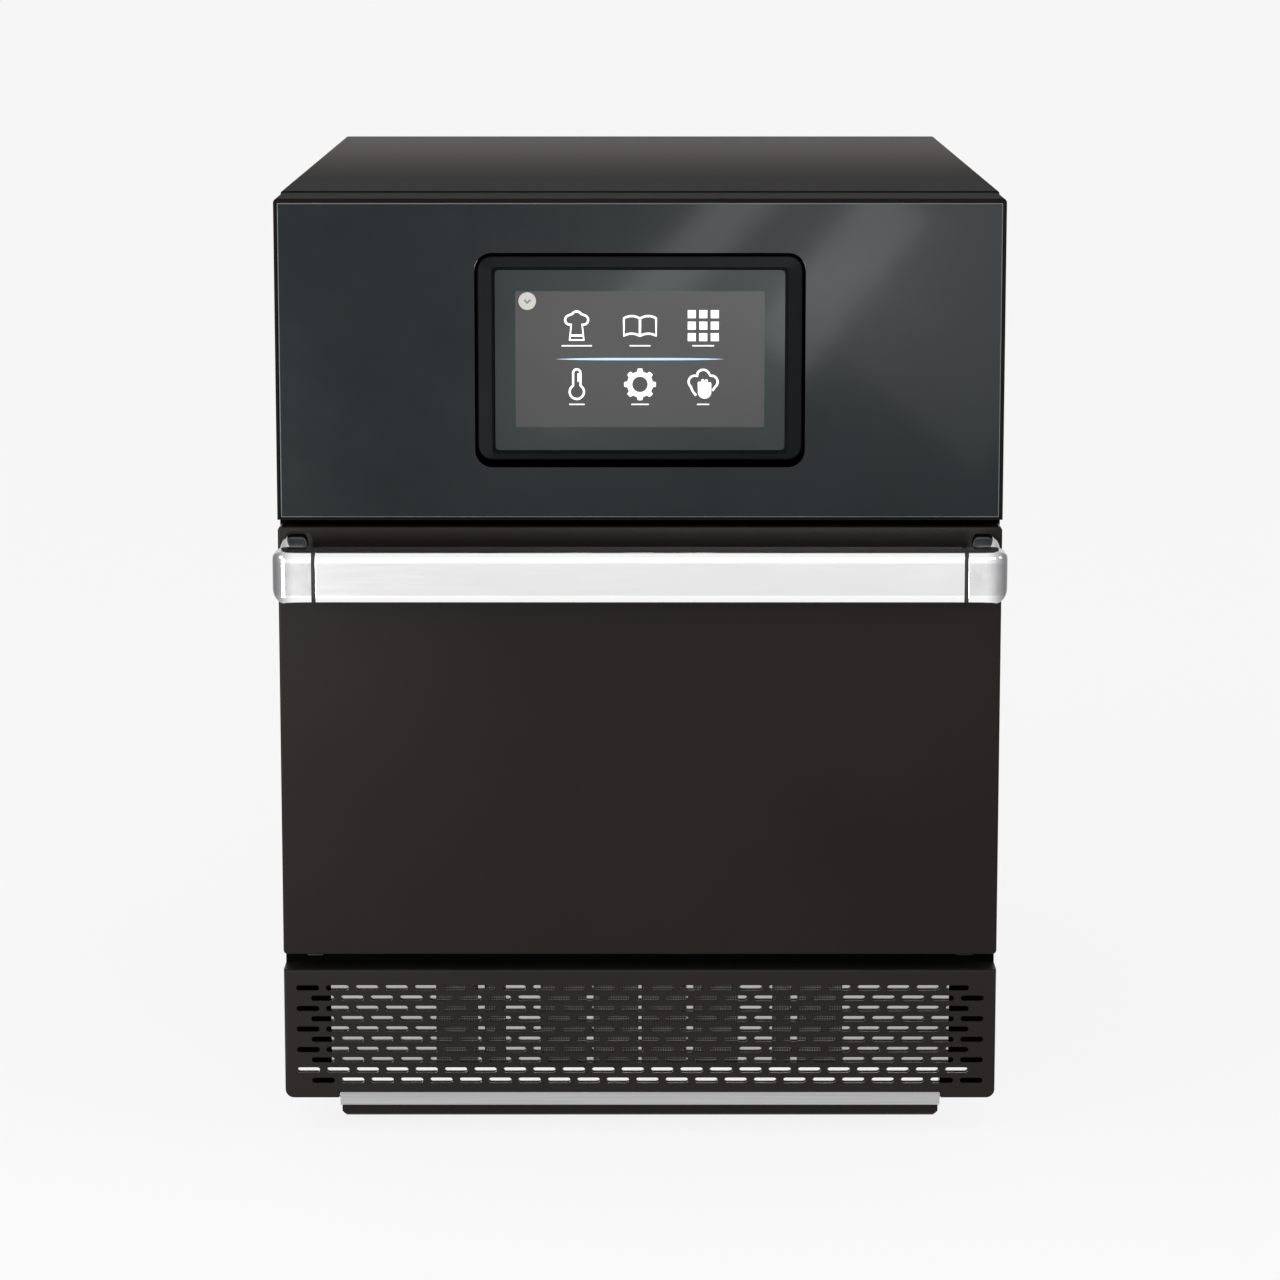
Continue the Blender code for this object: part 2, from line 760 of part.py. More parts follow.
WOOL_LOW = CAVITY_LOW - CAVITY_WALL - GAP - WOOL_THICKNESS
WOOL_HIGH = CAVITY_HIGH + CAVITY_WALL + GAP + WOOL_THICKNESS
BASE_FLOOR = FOOT_HEIGHT + SHEET
GUIDE_WIDTH = CASE_WIDTH - 2 * GUIDE_SIDE_ROOM
GUIDE_FRONT = FRONT + GUIDE_PLACE_SHARE * CASE_DEPTH
MAGNETRON_FRONT = GUIDE_FRONT + (GUIDE_DEPTH - MAGNETRON_DEPTH) / 2
SUPPLY_FRONT = FRONT + SUPPLY_SETBACK
SUPPLY_DEPTH = MAGNETRON_FRONT - SUPPLY_REAR_CLEAR - SUPPLY_FRONT
GUIDE_LOW = WOOL_LOW - GAP - GUIDE_HEIGHT
MAGNETRON_PLACE = GUIDE_WIDTH / 2 - MAGNETRON_INSET
SUPPLY_PLACE = HALF - SUPPLY_INSET - SUPPLY_WIDTH / 2


def comb(low, high, base, count, tooth):
    """Block from low to high with upright fins above base, as an outline."""
    pitch = (high[0] - low[0] - tooth) / (count - 1)
    points = [(low[0], low[1]), (high[0], low[1])]
    for i in reversed(range(count)):
        left = low[0] + i * pitch
        points.append((left + tooth, high[1]))
        points.append((left, high[1]))
        if i:
            points.append((left, base))
            points.append((left - pitch + tooth, base))
    return points


def make_waveguide():
    high = WOOL_LOW - GAP
    half = GUIDE_WIDTH / 2
    low_corner = (-half, GUIDE_LOW)
    high_corner = (half, high)
    inside = inset_box(low_corner, high_corner, GUIDE_WALL)
    start = GUIDE_FRONT
    loops = [rectangle(low_corner, high_corner), rectangle(*inside)]
    add("waveguide", prism(along_y, loops, start, start + GUIDE_DEPTH), ZINC)


def make_magnetrons():
    top = GUIDE_LOW - GAP
    start = MAGNETRON_FRONT
    for side, sign in (("left", -1), ("right", 1)):
        middle = sign * MAGNETRON_PLACE
        low = (middle - MAGNETRON_WIDTH / 2, BASE_FLOOR + MAGNETRON_CLEAR)
        high = (middle + MAGNETRON_WIDTH / 2, top)
        outline = comb(low, high, low[1] + FIN_DEPTH, FIN_COUNT, FIN_THICKNESS)
        body = add(f"magnetron_{side}", prism(along_y, [outline], start, start + MAGNETRON_DEPTH), ZINC)
        yoke = rectangle(
            (low[0] + FIN_DEPTH, low[1] + FIN_THICKNESS), (high[0] - FIN_DEPTH, high[1] - FIN_THICKNESS)
        )
        core = prism(along_y, [yoke], start + FIN_DEPTH, start + MAGNETRON_DEPTH - FIN_DEPTH)
        join(body, f"magnetron_core_{side}", core)


def make_power_supplies():
    start = SUPPLY_FRONT
    low_level = BASE_FLOOR + GAP
    for side, sign in (("left", -1), ("right", 1)):
        middle = sign * SUPPLY_PLACE
        low = (middle - SUPPLY_WIDTH / 2, low_level)
        high = (middle + SUPPLY_WIDTH / 2, GUIDE_LOW - SUPPLY_CLEAR)
        outline = comb(low, high, low_level + SUPPLY_BASE, SINK_FINS, FIN_THICKNESS)
        add(f"power_supply_{side}", prism(along_y, [outline], start, start + SUPPLY_DEPTH), ZINC)


def make_catalyst():
    rear = CAVITY_REAR - CATALYST_REAR_ROOM
    low = (-CATALYST_WIDTH / 2, rear - CATALYST_DEPTH)
    high = (CATALYST_WIDTH / 2, rear)
    pitch = CATALYST_CELL + CATALYST_WEB
    holes = []
    for i in range(CATALYST_COLUMNS):
        for k in range(CATALYST_ROWS):
            x = (i - CATALYST_COLUMNS / 2) * pitch + CATALYST_WEB / 2
            y = (low[1] + high[1]) / 2 + (k - CATALYST_ROWS / 2) * pitch + CATALYST_WEB / 2
            holes.append(rectangle((x, y), (x + CATALYST_CELL, y + CATALYST_CELL)))
    start = WOOL_HIGH + GAP
    shape = prism(along_z, [rectangle(low, high)] + holes, start, start + CATALYST_HEIGHT)
    add("catalytic_converter", shape, CERAMIC)


# Cooling fans at the rear
COOLER_INSET = 0.1235
COOLER_SIDE = 0.092
COOLER_DEPTH = 0.025
COOLER_RADIUS = 0.006
COOLER_BORE = 0.0425
COOLER_HUB = 0.018
COOLER_SPOKE = 0.004
COOLER_BACK = 0.003
COOLER_PIN = 0.0025
ROTOR_TIP = 0.040
ROTOR_BLADES = 7
ROTOR_BLADE = 0.0035
ROTOR_TWIST = 28
ROTOR_LEAN = 18
ROTOR_HUB = 0.015

COOLER_PLACE = HALF - COOLER_INSET
COOLER_LEVEL = FOOT_HEIGHT + FLANGE_HEIGHT + GAP + COOLER_SIDE / 2
COOLER_REAR = REAR - SHEET - GAP


def sector(centre, inner, outer, start, turn, steps):
    """Window between two radii."""
    return arc(centre, outer, start, turn, steps) + arc(centre, inner, start + turn, -turn, steps)


def make_cooling_fans(pivots):
    half = COOLER_SIDE / 2
    for side, sign in (("left", -1), ("right", 1)):
        centre = (sign * COOLER_PLACE, COOLER_LEVEL)
        low = (centre[0] - half, centre[1] - half)
        high = (centre[0] + half, centre[1] + half)
        outline = rounded(low, high, COOLER_RADIUS)
        gate = math.degrees(COOLER_SPOKE / COOLER_HUB)
        windows = [
            sector(centre, COOLER_HUB, COOLER_BORE, 90 * i + gate / 2, 90 - gate, ARC_STEPS)
            for i in range(4)
        ]
        hole = circle(centre, COOLER_PIN + GAP, PIN_STEPS)
        back = COOLER_REAR - COOLER_BACK
        shape = prism(along_y, [outline, hole] + windows, back, COOLER_REAR)
        frame = add(f"cooling_fan_frame_{side}", shape, BLACK_PLASTIC)
        tunnel = prism(
            along_y,
            [outline, circle(centre, COOLER_BORE)],
            COOLER_REAR - COOLER_DEPTH,
            back + COOLER_BACK / 2,
        )
        join(frame, f"tunnel_{side}", tunnel)
        make_rotor(side, centre, back, pivots[side])


def make_rotor(side, centre, back, pivot):
    """Twisted blades on a hub, with the pin that turns in the frame."""
    outline = star(ROTOR_BLADES, ROTOR_HUB, ROTOR_TIP, ROTOR_BLADE, ROTOR_LEAN)
    near = COOLER_REAR - COOLER_DEPTH + COOLER_BACK
    far = back - COOLER_BACK / 2
    bm = bmesh.new()
    first = loop(bm, along_y, moved(outline, *centre), near)
    second = loop(bm, along_y, moved(turned_by(outline, ROTOR_TWIST), *centre), far)
    cap(bm, [first])
    cap(bm, [second])
    bridge(bm, first, second)
    bmesh.ops.triangulate(bm, faces=[face for face in bm.faces if len(face.verts) == 4])
    rotor = add(f"cooling_rotor_{side}", bm, BLACK_PLASTIC, pivot)
    profile = [
        (0, near + COOLER_BACK / 2),
        (ROTOR_HUB + GAP, near + COOLER_BACK / 2),
        (ROTOR_HUB + GAP, far - COOLER_BACK / 2),
        (COOLER_PIN, far - COOLER_BACK / 2),
        (COOLER_PIN, COOLER_REAR - GAP),
        (0, COOLER_REAR - GAP),
    ]
    join(rotor, f"rotor_hub_{side}", turned(along_y, centre, profile, SMALL_STEPS))


# Casing: cover and rear panel
COVER_FOLD = 0.004
VENT_LENGTH = 0.034
VENT_WIDTH = 0.0045
VENT_SIDE_ROOM = 0.084
VENT_COLUMNS = 18
VENT_DROP = 0.060
VENT_ROW_PITCH = 0.050
VENT_ROWS = 2
GUARD_RING_SHARES = ((0.424, 0.612), (0.729, 0.941))
GUARD_WEB = 18
GLAND_INSET = 0.0435
GLAND_LEVEL = 0.060
GLAND_BORE = 0.0070
GLAND_THREAD = 0.0095
GLAND_NUT = 0.014
GLAND_NUT_DEPTH = 0.006
GLAND_NOSE = 0.0105
GLAND_INSIDE = 0.012
SWITCH_INSET = 0.0435
SWITCH_LEVEL = 0.060
SWITCH_WIDTH = 0.020
SWITCH_HEIGHT = 0.027
SWITCH_FLANGE = 0.0025
SWITCH_FLANGE_DEPTH = 0.002
SWITCH_DEPTH = 0.018
SWITCH_WALL = 0.0018
ROCKER_TILT = 8
ROCKER_DEPTH = 0.005
ROCKER_CREST = 0.0035
ROCKER_DIP = 0.0015

VENT_PITCH = (CASE_WIDTH - 2 * VENT_SIDE_ROOM) / (VENT_COLUMNS - 1)
GLAND_PLACE = GLAND_INSET - HALF
SWITCH_PLACE = HALF - SWITCH_INSET


def make_outer_cover():
    """Top and both sides in one folded sheet, over the flanges of the base pan."""
    side = [(-HALF, PANEL_LOW)]
    side += arc((-HALF + COVER_FOLD, TOP - COVER_FOLD), COVER_FOLD, 180, -90, ARC_STEPS)
    inner = [(-HALF + SHEET, PANEL_LOW)]
    inner += arc((-HALF + COVER_FOLD, TOP - COVER_FOLD), COVER_FOLD - SHEET, 180, -90, ARC_STEPS)
    outer = side + [(-u, v) for u, v in reversed(side)]
    inside = inner + [(-u, v) for u, v in reversed(inner)]
    outline = outer + list(reversed(inside))
    add("outer_cover", prism(along_y, [outline], SEAM + GAP, REAR - SHEET - GAP), BLACK_PAINT)


def make_rear_panel():
    outline = [(-HALF, FOOT_HEIGHT), (HALF, FOOT_HEIGHT)]
    outline += arc((HALF - COVER_FOLD, TOP - COVER_FOLD), COVER_FOLD, 0, 90, ARC_STEPS)
    outline += arc((-HALF + COVER_FOLD, TOP - COVER_FOLD), COVER_FOLD, 90, 90, ARC_STEPS)
    holes = []
    for i in range(VENT_COLUMNS):
        for k in range(VENT_ROWS):
            x = (i - (VENT_COLUMNS - 1) / 2) * VENT_PITCH
            centre = (x, TOP - VENT_DROP - k * VENT_ROW_PITCH)
            holes.append(slot(centre, VENT_LENGTH, VENT_WIDTH, steps=1, upright=True))
    for sign in (-1, 1):
        centre = (sign * COOLER_PLACE, COOLER_LEVEL)
        for near, far in GUARD_RING_SHARES:
            inner, outer = near * COOLER_BORE, far * COOLER_BORE
            for i in range(4):
                holes.append(sector(centre, inner, outer, 90 * i + GUARD_WEB / 2, 90 - GUARD_WEB, ARC_STEPS))
    holes.append(circle((GLAND_PLACE, GLAND_LEVEL), GLAND_THREAD + GAP))
    half_width = SWITCH_WIDTH / 2 + GAP
    half_height = SWITCH_HEIGHT / 2 + GAP
    holes.append(
        rectangle(
            (SWITCH_PLACE - half_width, SWITCH_LEVEL - half_height),
            (SWITCH_PLACE + half_width, SWITCH_LEVEL + half_height),
        )
    )
    add("rear_panel", prism(along_y, [outline] + holes, REAR - SHEET, REAR), BLACK_PAINT)


def make_cable_gland():
    profile = [
        (GLAND_BORE, REAR - GLAND_INSIDE),
        (GLAND_THREAD, REAR - GLAND_INSIDE),
        (GLAND_THREAD, REAR + GAP),
        (GLAND_NUT, REAR + GAP),
        (GLAND_NUT, REAR + GLAND_NUT_DEPTH),
        (GLAND_NOSE, REAR + GLAND_NUT_DEPTH + GLAND_NOSE / 2),
        (GLAND_NOSE, REAR + GLAND_REACH),
        (GLAND_BORE, REAR + GLAND_REACH),
    ]
    shape = turned(along_y, (GLAND_PLACE, GLAND_LEVEL), profile, SMALL_STEPS, closed=True)
    add("cable_gland", shape, BLACK_PLASTIC)


def switch_corners(grow):
    half_width = SWITCH_WIDTH / 2 + grow
    half_height = SWITCH_HEIGHT / 2 + grow
    low = (SWITCH_PLACE - half_width, SWITCH_LEVEL - half_height)
    return low, (SWITCH_PLACE + half_width, SWITCH_LEVEL + half_height)


def make_switch(pivot):
    shape = pan(
        along_y,
        rectangle(*switch_corners(0)),
        rectangle(*switch_corners(-SWITCH_WALL)),
        [],
        REAR - SWITCH_DEPTH,
        SWITCH_WALL,
        SWITCH_DEPTH + GAP + SWITCH_FLANGE_DEPTH / 2,
    )
    housing = add("switch_housing", shape, BLACK_PLASTIC)
    flange = prism(
        along_y,
        [rectangle(*switch_corners(SWITCH_FLANGE)), rectangle(*switch_corners(-SWITCH_WALL))],
        REAR + GAP,
        REAR + GAP + SWITCH_FLANGE_DEPTH,
    )
    join(housing, "switch_flange", flange)
    half = SWITCH_HEIGHT / 2 - SWITCH_WALL - ROCKER_DIP
    outline = [
        (-ROCKER_DEPTH, -half),
        (ROCKER_CREST, -half),
        (ROCKER_DIP, 0),
        (ROCKER_CREST, half),
        (-ROCKER_DEPTH, half),
    ]
    placed = moved(turned_by(outline, ROCKER_TILT), REAR, SWITCH_LEVEL)
    reach = SWITCH_WIDTH / 2 - SWITCH_WALL - GAP
    shape = prism(along_x, [placed], SWITCH_PLACE - reach, SWITCH_PLACE + reach)
    add("power_rocker", shape, BLACK_PLASTIC, pivot)


# Control housing, fascia and display
HOUSING_WALL = 0.0018
HOUSING_FOLD = 0.004
GLASS_THICKNESS = 0.003
GLASS_SIDE = 0.0022
GLASS_BOTTOM = 0.0015
GLASS_TOP = 0.0035
GLASS_BEVEL = 0.0006
SCREEN_RISE = 0.0334
BEZEL_WIDTH = 0.207
SCREEN_DROP = 0.0347
BEZEL_RADIUS = 0.011
BEZEL_PROUD = 0.0012
BEZEL_BEVEL = 0.0025
BEZEL_DEPTH = 0.010
BEZEL_FRAME_SIDE = 0.0127
BEZEL_FRAME_END = 0.0107
TOUCH_RADIUS = 0.003
TOUCH_THICKNESS = 0.002
TOUCH_RECESS = 0.0015
MODULE_DEPTH = 0.012
BOARD_THICKNESS = 0.0016
POST_RADIUS = 0.003
POST_LENGTH = 0.010
BOARD_MARGIN = 0.006
CHIP_HEIGHT = 0.006

BEZEL_HEIGHT = FASCIA_HEIGHT - SCREEN_RISE - SCREEN_DROP
TOUCH_WIDTH = BEZEL_WIDTH - 2 * BEZEL_FRAME_SIDE
TOUCH_HEIGHT = BEZEL_HEIGHT - 2 * BEZEL_FRAME_END
BEZEL_LEVEL = FASCIA_LOW + SCREEN_RISE + BEZEL_HEIGHT / 2
TOUCH_FRONT = FRONT + TOUCH_RECESS


def screen_outline(width, height, radius, grow=0.0):
    low = (-width / 2 - grow, BEZEL_LEVEL - height / 2 - grow)
    high = (width / 2 + grow, BEZEL_LEVEL + height / 2 + grow)
    return rounded(low, high, radius + grow, SMOOTH_ARC_STEPS)


def make_front_housing():
    """Hollow box with a folded top edge, a shallow pocket for the fascia and a window for the screen."""
    outline = [(FRONT, FASCIA_LOW), (SEAM, FASCIA_LOW), (SEAM, TOP)]
    outline += arc((FRONT + HOUSING_FOLD, TOP - HOUSING_FOLD), HOUSING_FOLD, 90, 90, ARC_STEPS)
    housing = add("front_housing", prism(along_x, [outline], -HALF, HALF), BLACK_PAINT)
    pocket = FRONT + GLASS_THICKNESS + GAP
    corners = inset_box((-HALF, FASCIA_LOW), (HALF, TOP), HOUSING_WALL)
    hollow = prism(along_y, [rectangle(*corners)], pocket + HOUSING_WALL, SEAM + CUT_OVERRUN)
    cut(housing, "housing_hollow", hollow)
    corners = glass_corners(GAP)
    cut(housing, "glass_pocket", prism(along_y, [rectangle(*corners)], FRONT - CUT_OVERRUN, pocket))
    window = screen_outline(BEZEL_WIDTH, BEZEL_HEIGHT, BEZEL_RADIUS, GAP)
    shape = prism(along_y, [window], FRONT - CUT_OVERRUN, pocket + HOUSING_WALL + CUT_OVERRUN)
    cut(housing, "screen_window", shape)


def glass_corners(grow=0.0):
    low = (-HALF + GLASS_SIDE - grow, FASCIA_LOW + GLASS_BOTTOM - grow)
    high = (HALF - GLASS_SIDE + grow, TOP - GLASS_TOP + grow)
    return low, high


def make_fascia_glass():
    window = screen_outline(BEZEL_WIDTH, BEZEL_HEIGHT, BEZEL_RADIUS, GAP)
    outline = rectangle(*glass_corners())
    face = rectangle(*glass_corners(-GLASS_BEVEL))
    bm = bmesh.new()
    rear = loop(bm, along_y, outline, FRONT + GLASS_THICKNESS)
    shoulder = loop(bm, along_y, outline, FRONT + GLASS_BEVEL)
    front = loop(bm, along_y, face, FRONT)
    hole_front = loop(bm, along_y, window, FRONT)
    hole_rear = loop(bm, along_y, window, FRONT + GLASS_THICKNESS)
    bridge(bm, rear, shoulder)
    bridge(bm, shoulder, front)
    bridge(bm, hole_front, hole_rear)
    cap(bm, [front, hole_front])
    cap(bm, [rear, hole_rear])
    add("fascia_glass", bm, DARK_GLASS)


def make_screen_bezel():
    """Ring with a bevelled outer edge and a slope down to the touch glass."""
    bm = bmesh.new()
    seat = TOUCH_FRONT + TOUCH_THICKNESS + GAP
    sections = [
        (BEZEL_WIDTH, BEZEL_HEIGHT, BEZEL_RADIUS, 0.0, FRONT + BEZEL_DEPTH),
        (BEZEL_WIDTH, BEZEL_HEIGHT, BEZEL_RADIUS, 0.0, FRONT),
        (BEZEL_WIDTH, BEZEL_HEIGHT, BEZEL_RADIUS, -BEZEL_BEVEL, FRONT - BEZEL_PROUD),
        (TOUCH_WIDTH, TOUCH_HEIGHT, TOUCH_RADIUS, BEZEL_BEVEL, FRONT - BEZEL_PROUD),
        (TOUCH_WIDTH, TOUCH_HEIGHT, TOUCH_RADIUS, GAP, FRONT),
        (TOUCH_WIDTH, TOUCH_HEIGHT, TOUCH_RADIUS, GAP, seat),
        (TOUCH_WIDTH, TOUCH_HEIGHT, TOUCH_RADIUS, -BEZEL_BEVEL / 2, seat),
        (TOUCH_WIDTH, TOUCH_HEIGHT, TOUCH_RADIUS, -BEZEL_BEVEL / 2, FRONT + BEZEL_DEPTH),
    ]
    rings = [loop(bm, along_y, screen_outline(w, h, r, grow), y) for w, h, r, grow, y in sections]
    for i in range(len(rings)):
        bridge(bm, rings[i - 1], rings[i])
    add("screen_bezel", bm, BLACK_PLASTIC)


def make_display():
    outline = screen_outline(TOUCH_WIDTH, TOUCH_HEIGHT, TOUCH_RADIUS)
    shape = prism(along_y, [outline], TOUCH_FRONT, TOUCH_FRONT + TOUCH_THICKNESS)
    add("touch_glass", shape, GREY_GLASS)
    start = TOUCH_FRONT + TOUCH_THICKNESS + GAP
    module = screen_outline(TOUCH_WIDTH, TOUCH_HEIGHT, TOUCH_RADIUS, -BEZEL_BEVEL)
    shape = prism(along_y, [module], start, start + MODULE_DEPTH)
    add("display_module", shape, BLACK_PLASTIC)
    make_control_board(start + MODULE_DEPTH + GAP)


def make_control_board(start):
    """Board on four posts behind the display."""
    low = (-TOUCH_WIDTH / 2, BEZEL_LEVEL - TOUCH_HEIGHT / 2)
    high = (TOUCH_WIDTH / 2, BEZEL_LEVEL + TOUCH_HEIGHT / 2)
    near = start + POST_LENGTH
    far = near + BOARD_THICKNESS
    board = add("control_board", prism(along_y, [rectangle(low, high)], near, far), BOARD)
    profile = [(0, start), (POST_RADIUS, start), (POST_RADIUS, far), (0, far)]
    for i, x in enumerate((low[0] + 2 * BOARD_MARGIN, high[0] - 2 * BOARD_MARGIN)):
        for k, z in enumerate((low[1] + 2 * BOARD_MARGIN, high[1] - 2 * BOARD_MARGIN)):
            join(board, f"board_post_{i}{k}", turned(along_y, (x, z), profile, SMALL_STEPS))
    chip = rectangle((low[0] / 2, BEZEL_LEVEL), (high[0] / 3, high[1] - 3 * BOARD_MARGIN))
    join(board, "board_chip", prism(along_y, [chip], near, far + CHIP_HEIGHT))


# Door
DOOR_DEPTH = 0.018
DOOR_BEVEL = 0.0022
HINGE_BEHIND = 0.013
HINGE_ABOVE = 0.005
HINGE_INSET = 0.014
PIN_RADIUS = 0.0025
PIN_PLAY = 0.00035
EYE_RADIUS = 0.0047
ARM_LENGTH = 0.070
ARM_THICKNESS = 0.004
BRACKET_THICKNESS = 0.004
BRACKET_PLAY = 0.0025
FOOT_THICKNESS = 0.002
FOOT_REACH = 0.010
FOOT_HALF_HEIGHT = 0.010
NOTCH_MARGIN = 0.0015
INNER_RAISE = 0.014
INNER_BACK = 0.0002
PLUG_PLAY = 0.0025
PLUG_DEPTH = 0.012
PLUG_DRAFT = 0.002
SEAL_OUTSET = 0.003
SEAL_WIDTH = 0.007
SEAL_RADIUS = 0.010
CHOKE_WIDTH = 0.012
CHOKE_PITCH = 0.030
CHOKE_TOOTH = 0.020
FINGER_LENGTH = 0.027
FINGER_NOSE = 0.003
INTERLOCK_WALL = 0.003
INTERLOCK_DEPTH = 0.034

HINGE_PLACE = HALF - HINGE_INSET
HINGE_Y = FRONT + HINGE_BEHIND
HINGE_Z = DOOR_LOW + HINGE_ABOVE
DOOR_BACK = FRONT + DOOR_DEPTH
INNER_LOW = DOOR_LOW + INNER_RAISE
INNER_REAR = DOOR_BACK - INNER_BACK
INNER_FRONT = INNER_REAR - SHEET


def make_door_skin(pivot):
    low = (-HALF, DOOR_LOW)
    high = (HALF, DOOR_HIGH)
    face = inset_box(low, high, DOOR_BEVEL)
    inside = inset_box(low, high, SHEET)
    shape = pan(
        along_y,
        rectangle(low, high),
        rectangle(*inside),
        [],
        FRONT,
        SHEET + DOOR_BEVEL / 2,
        DOOR_DEPTH,
        edge=(rectangle(*face), DOOR_BEVEL),
    )
    skin = add("door_skin", shape, BLACK_PAINT, pivot)
    for side, sign in (("left", -1), ("right", 1)):
        first = sign * (HINGE_PLACE - FOOT_REACH - NOTCH_MARGIN)
        last = sign * (HINGE_PLACE + BRACKET_PLAY + ARM_THICKNESS + PIN_RADIUS + NOTCH_MARGIN)
        notch = rectangle(
            (FRONT + 2 * DOOR_BEVEL, DOOR_LOW - CUT_OVERRUN), (DOOR_BACK + CUT_OVERRUN, HINGE_Z)
        )
        cut(skin, f"hinge_notch_{side}", prism(along_x, [notch], first, last))


def plug_outline(grow):
    low = (-CAVITY_HALF + PLUG_PLAY - grow, CAVITY_LOW + PLUG_PLAY - grow)
    high = (CAVITY_HALF - PLUG_PLAY + grow, CAVITY_HIGH - PLUG_PLAY + grow)
    return rounded(low, high, CAVITY_RADIUS - PLUG_PLAY + grow)


def make_door_inner(pivot):
    """Pressed sheet whose middle stands back into the cavity's mouth."""
    low = (-HALF + SHEET + GAP, INNER_LOW)
    high = (HALF - SHEET - GAP, DOOR_HIGH - SHEET - GAP)
    outline = rectangle(low, high)
    bm = bmesh.new()
    rear = loop(bm, along_y, outline, INNER_REAR)
    front = loop(bm, along_y, outline, INNER_FRONT)
    root = loop(bm, along_y, plug_outline(0), INNER_REAR)
    root_inside = loop(bm, along_y, plug_outline(-SHEET), INNER_FRONT)
    crown = loop(bm, along_y, plug_outline(-PLUG_DRAFT), INNER_REAR + PLUG_DEPTH)
    crown_inside = loop(bm, along_y, plug_outline(-PLUG_DRAFT - SHEET), INNER_FRONT + PLUG_DEPTH)
    bridge(bm, rear, front)
    bridge(bm, root, crown)
    bridge(bm, root_inside, crown_inside)
    cap(bm, [rear, root])
    cap(bm, [front, root_inside])
    cap(bm, [crown])
    cap(bm, [crown_inside])
    add("door_inner", bm, STEEL, pivot)


def ring_outline(grow):
    low = (-CAVITY_HALF - grow, CAVITY_LOW - grow)
    high = (CAVITY_HALF + grow, CAVITY_HIGH + grow)
    return rounded(low, high, SEAL_RADIUS + grow)


def make_door_seal(pivot):
    start = INNER_REAR + GAP
    end = FRAME_FRONT - GAP
    loops = [ring_outline(SEAL_OUTSET + SEAL_WIDTH), ring_outline(SEAL_OUTSET)]
    add("door_seal", prism(along_y, loops, start, end), SEAL, pivot)


def make_door_choke(pivot):
    """Toothed ring in the door, round the plug, that stops the microwaves at the edge."""
    inner = -PLUG_PLAY + GAP
    end = INNER_FRONT - GAP
    start = FRONT + SHEET + DOOR_BEVEL / 2 + GAP
    loops = [ring_outline(CHOKE_WIDTH), ring_outline(inner)]
    choke = add("door_choke", prism(along_y, loops, start, end), STEEL, pivot)
    count = int((CAVITY_WIDTH - 2 * CHOKE_PITCH) / CHOKE_PITCH)
    slots = []
    for i in range(count):
        x = (i - (count - 1) / 2) * CHOKE_PITCH
        slots.append((x - (CHOKE_PITCH - CHOKE_TOOTH) / 2, x + (CHOKE_PITCH - CHOKE_TOOTH) / 2))
    bm = bmesh.new()
    for first, last in slots:
        for level in (CAVITY_LOW - CHOKE_WIDTH, CAVITY_HIGH + CHOKE_WIDTH):
            low = (first, level - CHOKE_WIDTH / 2)
            high = (last, level + CHOKE_WIDTH / 2)
            near = loop(bm, along_y, rectangle(low, high), start + SHEET)
            far = loop(bm, along_y, rectangle(low, high), end + CUT_OVERRUN)
            cap(bm, [near])
            cap(bm, [far])
            bridge(bm, near, far)
    cut(choke, "choke_slots", bm)


def make_door_insulation(pivot):
    start = FRONT + SHEET + DOOR_BEVEL / 2 + GAP
    grow = -PLUG_DRAFT - SHEET - GAP - PLUG_PLAY
    shape = prism(along_y, [plug_outline(grow)], start, INNER_FRONT + PLUG_DEPTH - GAP)
    add("door_insulation", shape, WOOL, pivot)


def make_hinges(pivot):
    foot_rear = FRAME_FRONT - GAP
    arm_front = FRONT + SHEET + DOOR_BEVEL / 2 + GAP
    arm_rear = INNER_FRONT - GAP
    axis = (HINGE_Y, HINGE_Z)
    for side, sign in (("left", -1), ("right", 1)):
        plate = arc(axis, EYE_RADIUS, 90, 180, PIN_STEPS)
        plate += [(foot_rear, HINGE_Z - EYE_RADIUS), (foot_rear, HINGE_Z + EYE_RADIUS)]
        near = sign * HINGE_PLACE
        far = sign * (HINGE_PLACE - BRACKET_THICKNESS)
        bracket = add(f"hinge_bracket_{side}", prism(along_x, [plate], near, far), ZINC)
        foot = rectangle(
            (foot_rear - FOOT_THICKNESS, HINGE_Z - FOOT_HALF_HEIGHT), (foot_rear, HINGE_Z + FOOT_HALF_HEIGHT)
        )
        join(bracket, f"hinge_foot_{side}", prism(along_x, [foot], near, sign * (HINGE_PLACE - FOOT_REACH)))
        arm_near = HINGE_PLACE + BRACKET_PLAY
        arm_far = arm_near + ARM_THICKNESS
        start = sign * (HINGE_PLACE - BRACKET_THICKNESS / 2)
        end = sign * (arm_far + PIN_RADIUS)
        pin = prism(along_x, [circle(axis, PIN_RADIUS, SMALL_STEPS)], start, end)
        join(bracket, f"hinge_pin_{side}", pin)
        outline = arc(axis, EYE_RADIUS, 200, 160, PIN_STEPS)
        outline += [
            (HINGE_Y + EYE_RADIUS, HINGE_Z + EYE_RADIUS / 2),
            (arm_rear, HINGE_Z + EYE_RADIUS),
            (arm_rear, HINGE_Z + ARM_LENGTH),
            (arm_front, HINGE_Z + ARM_LENGTH),
            (arm_front, HINGE_Z + 2 * EYE_RADIUS),
        ]
        bore = circle(axis, PIN_RADIUS + PIN_PLAY, SMALL_STEPS)
        shape = prism(along_x, [outline, bore], sign * arm_near, sign * arm_far)
        add(f"hinge_arm_{side}", shape, ZINC, pivot)


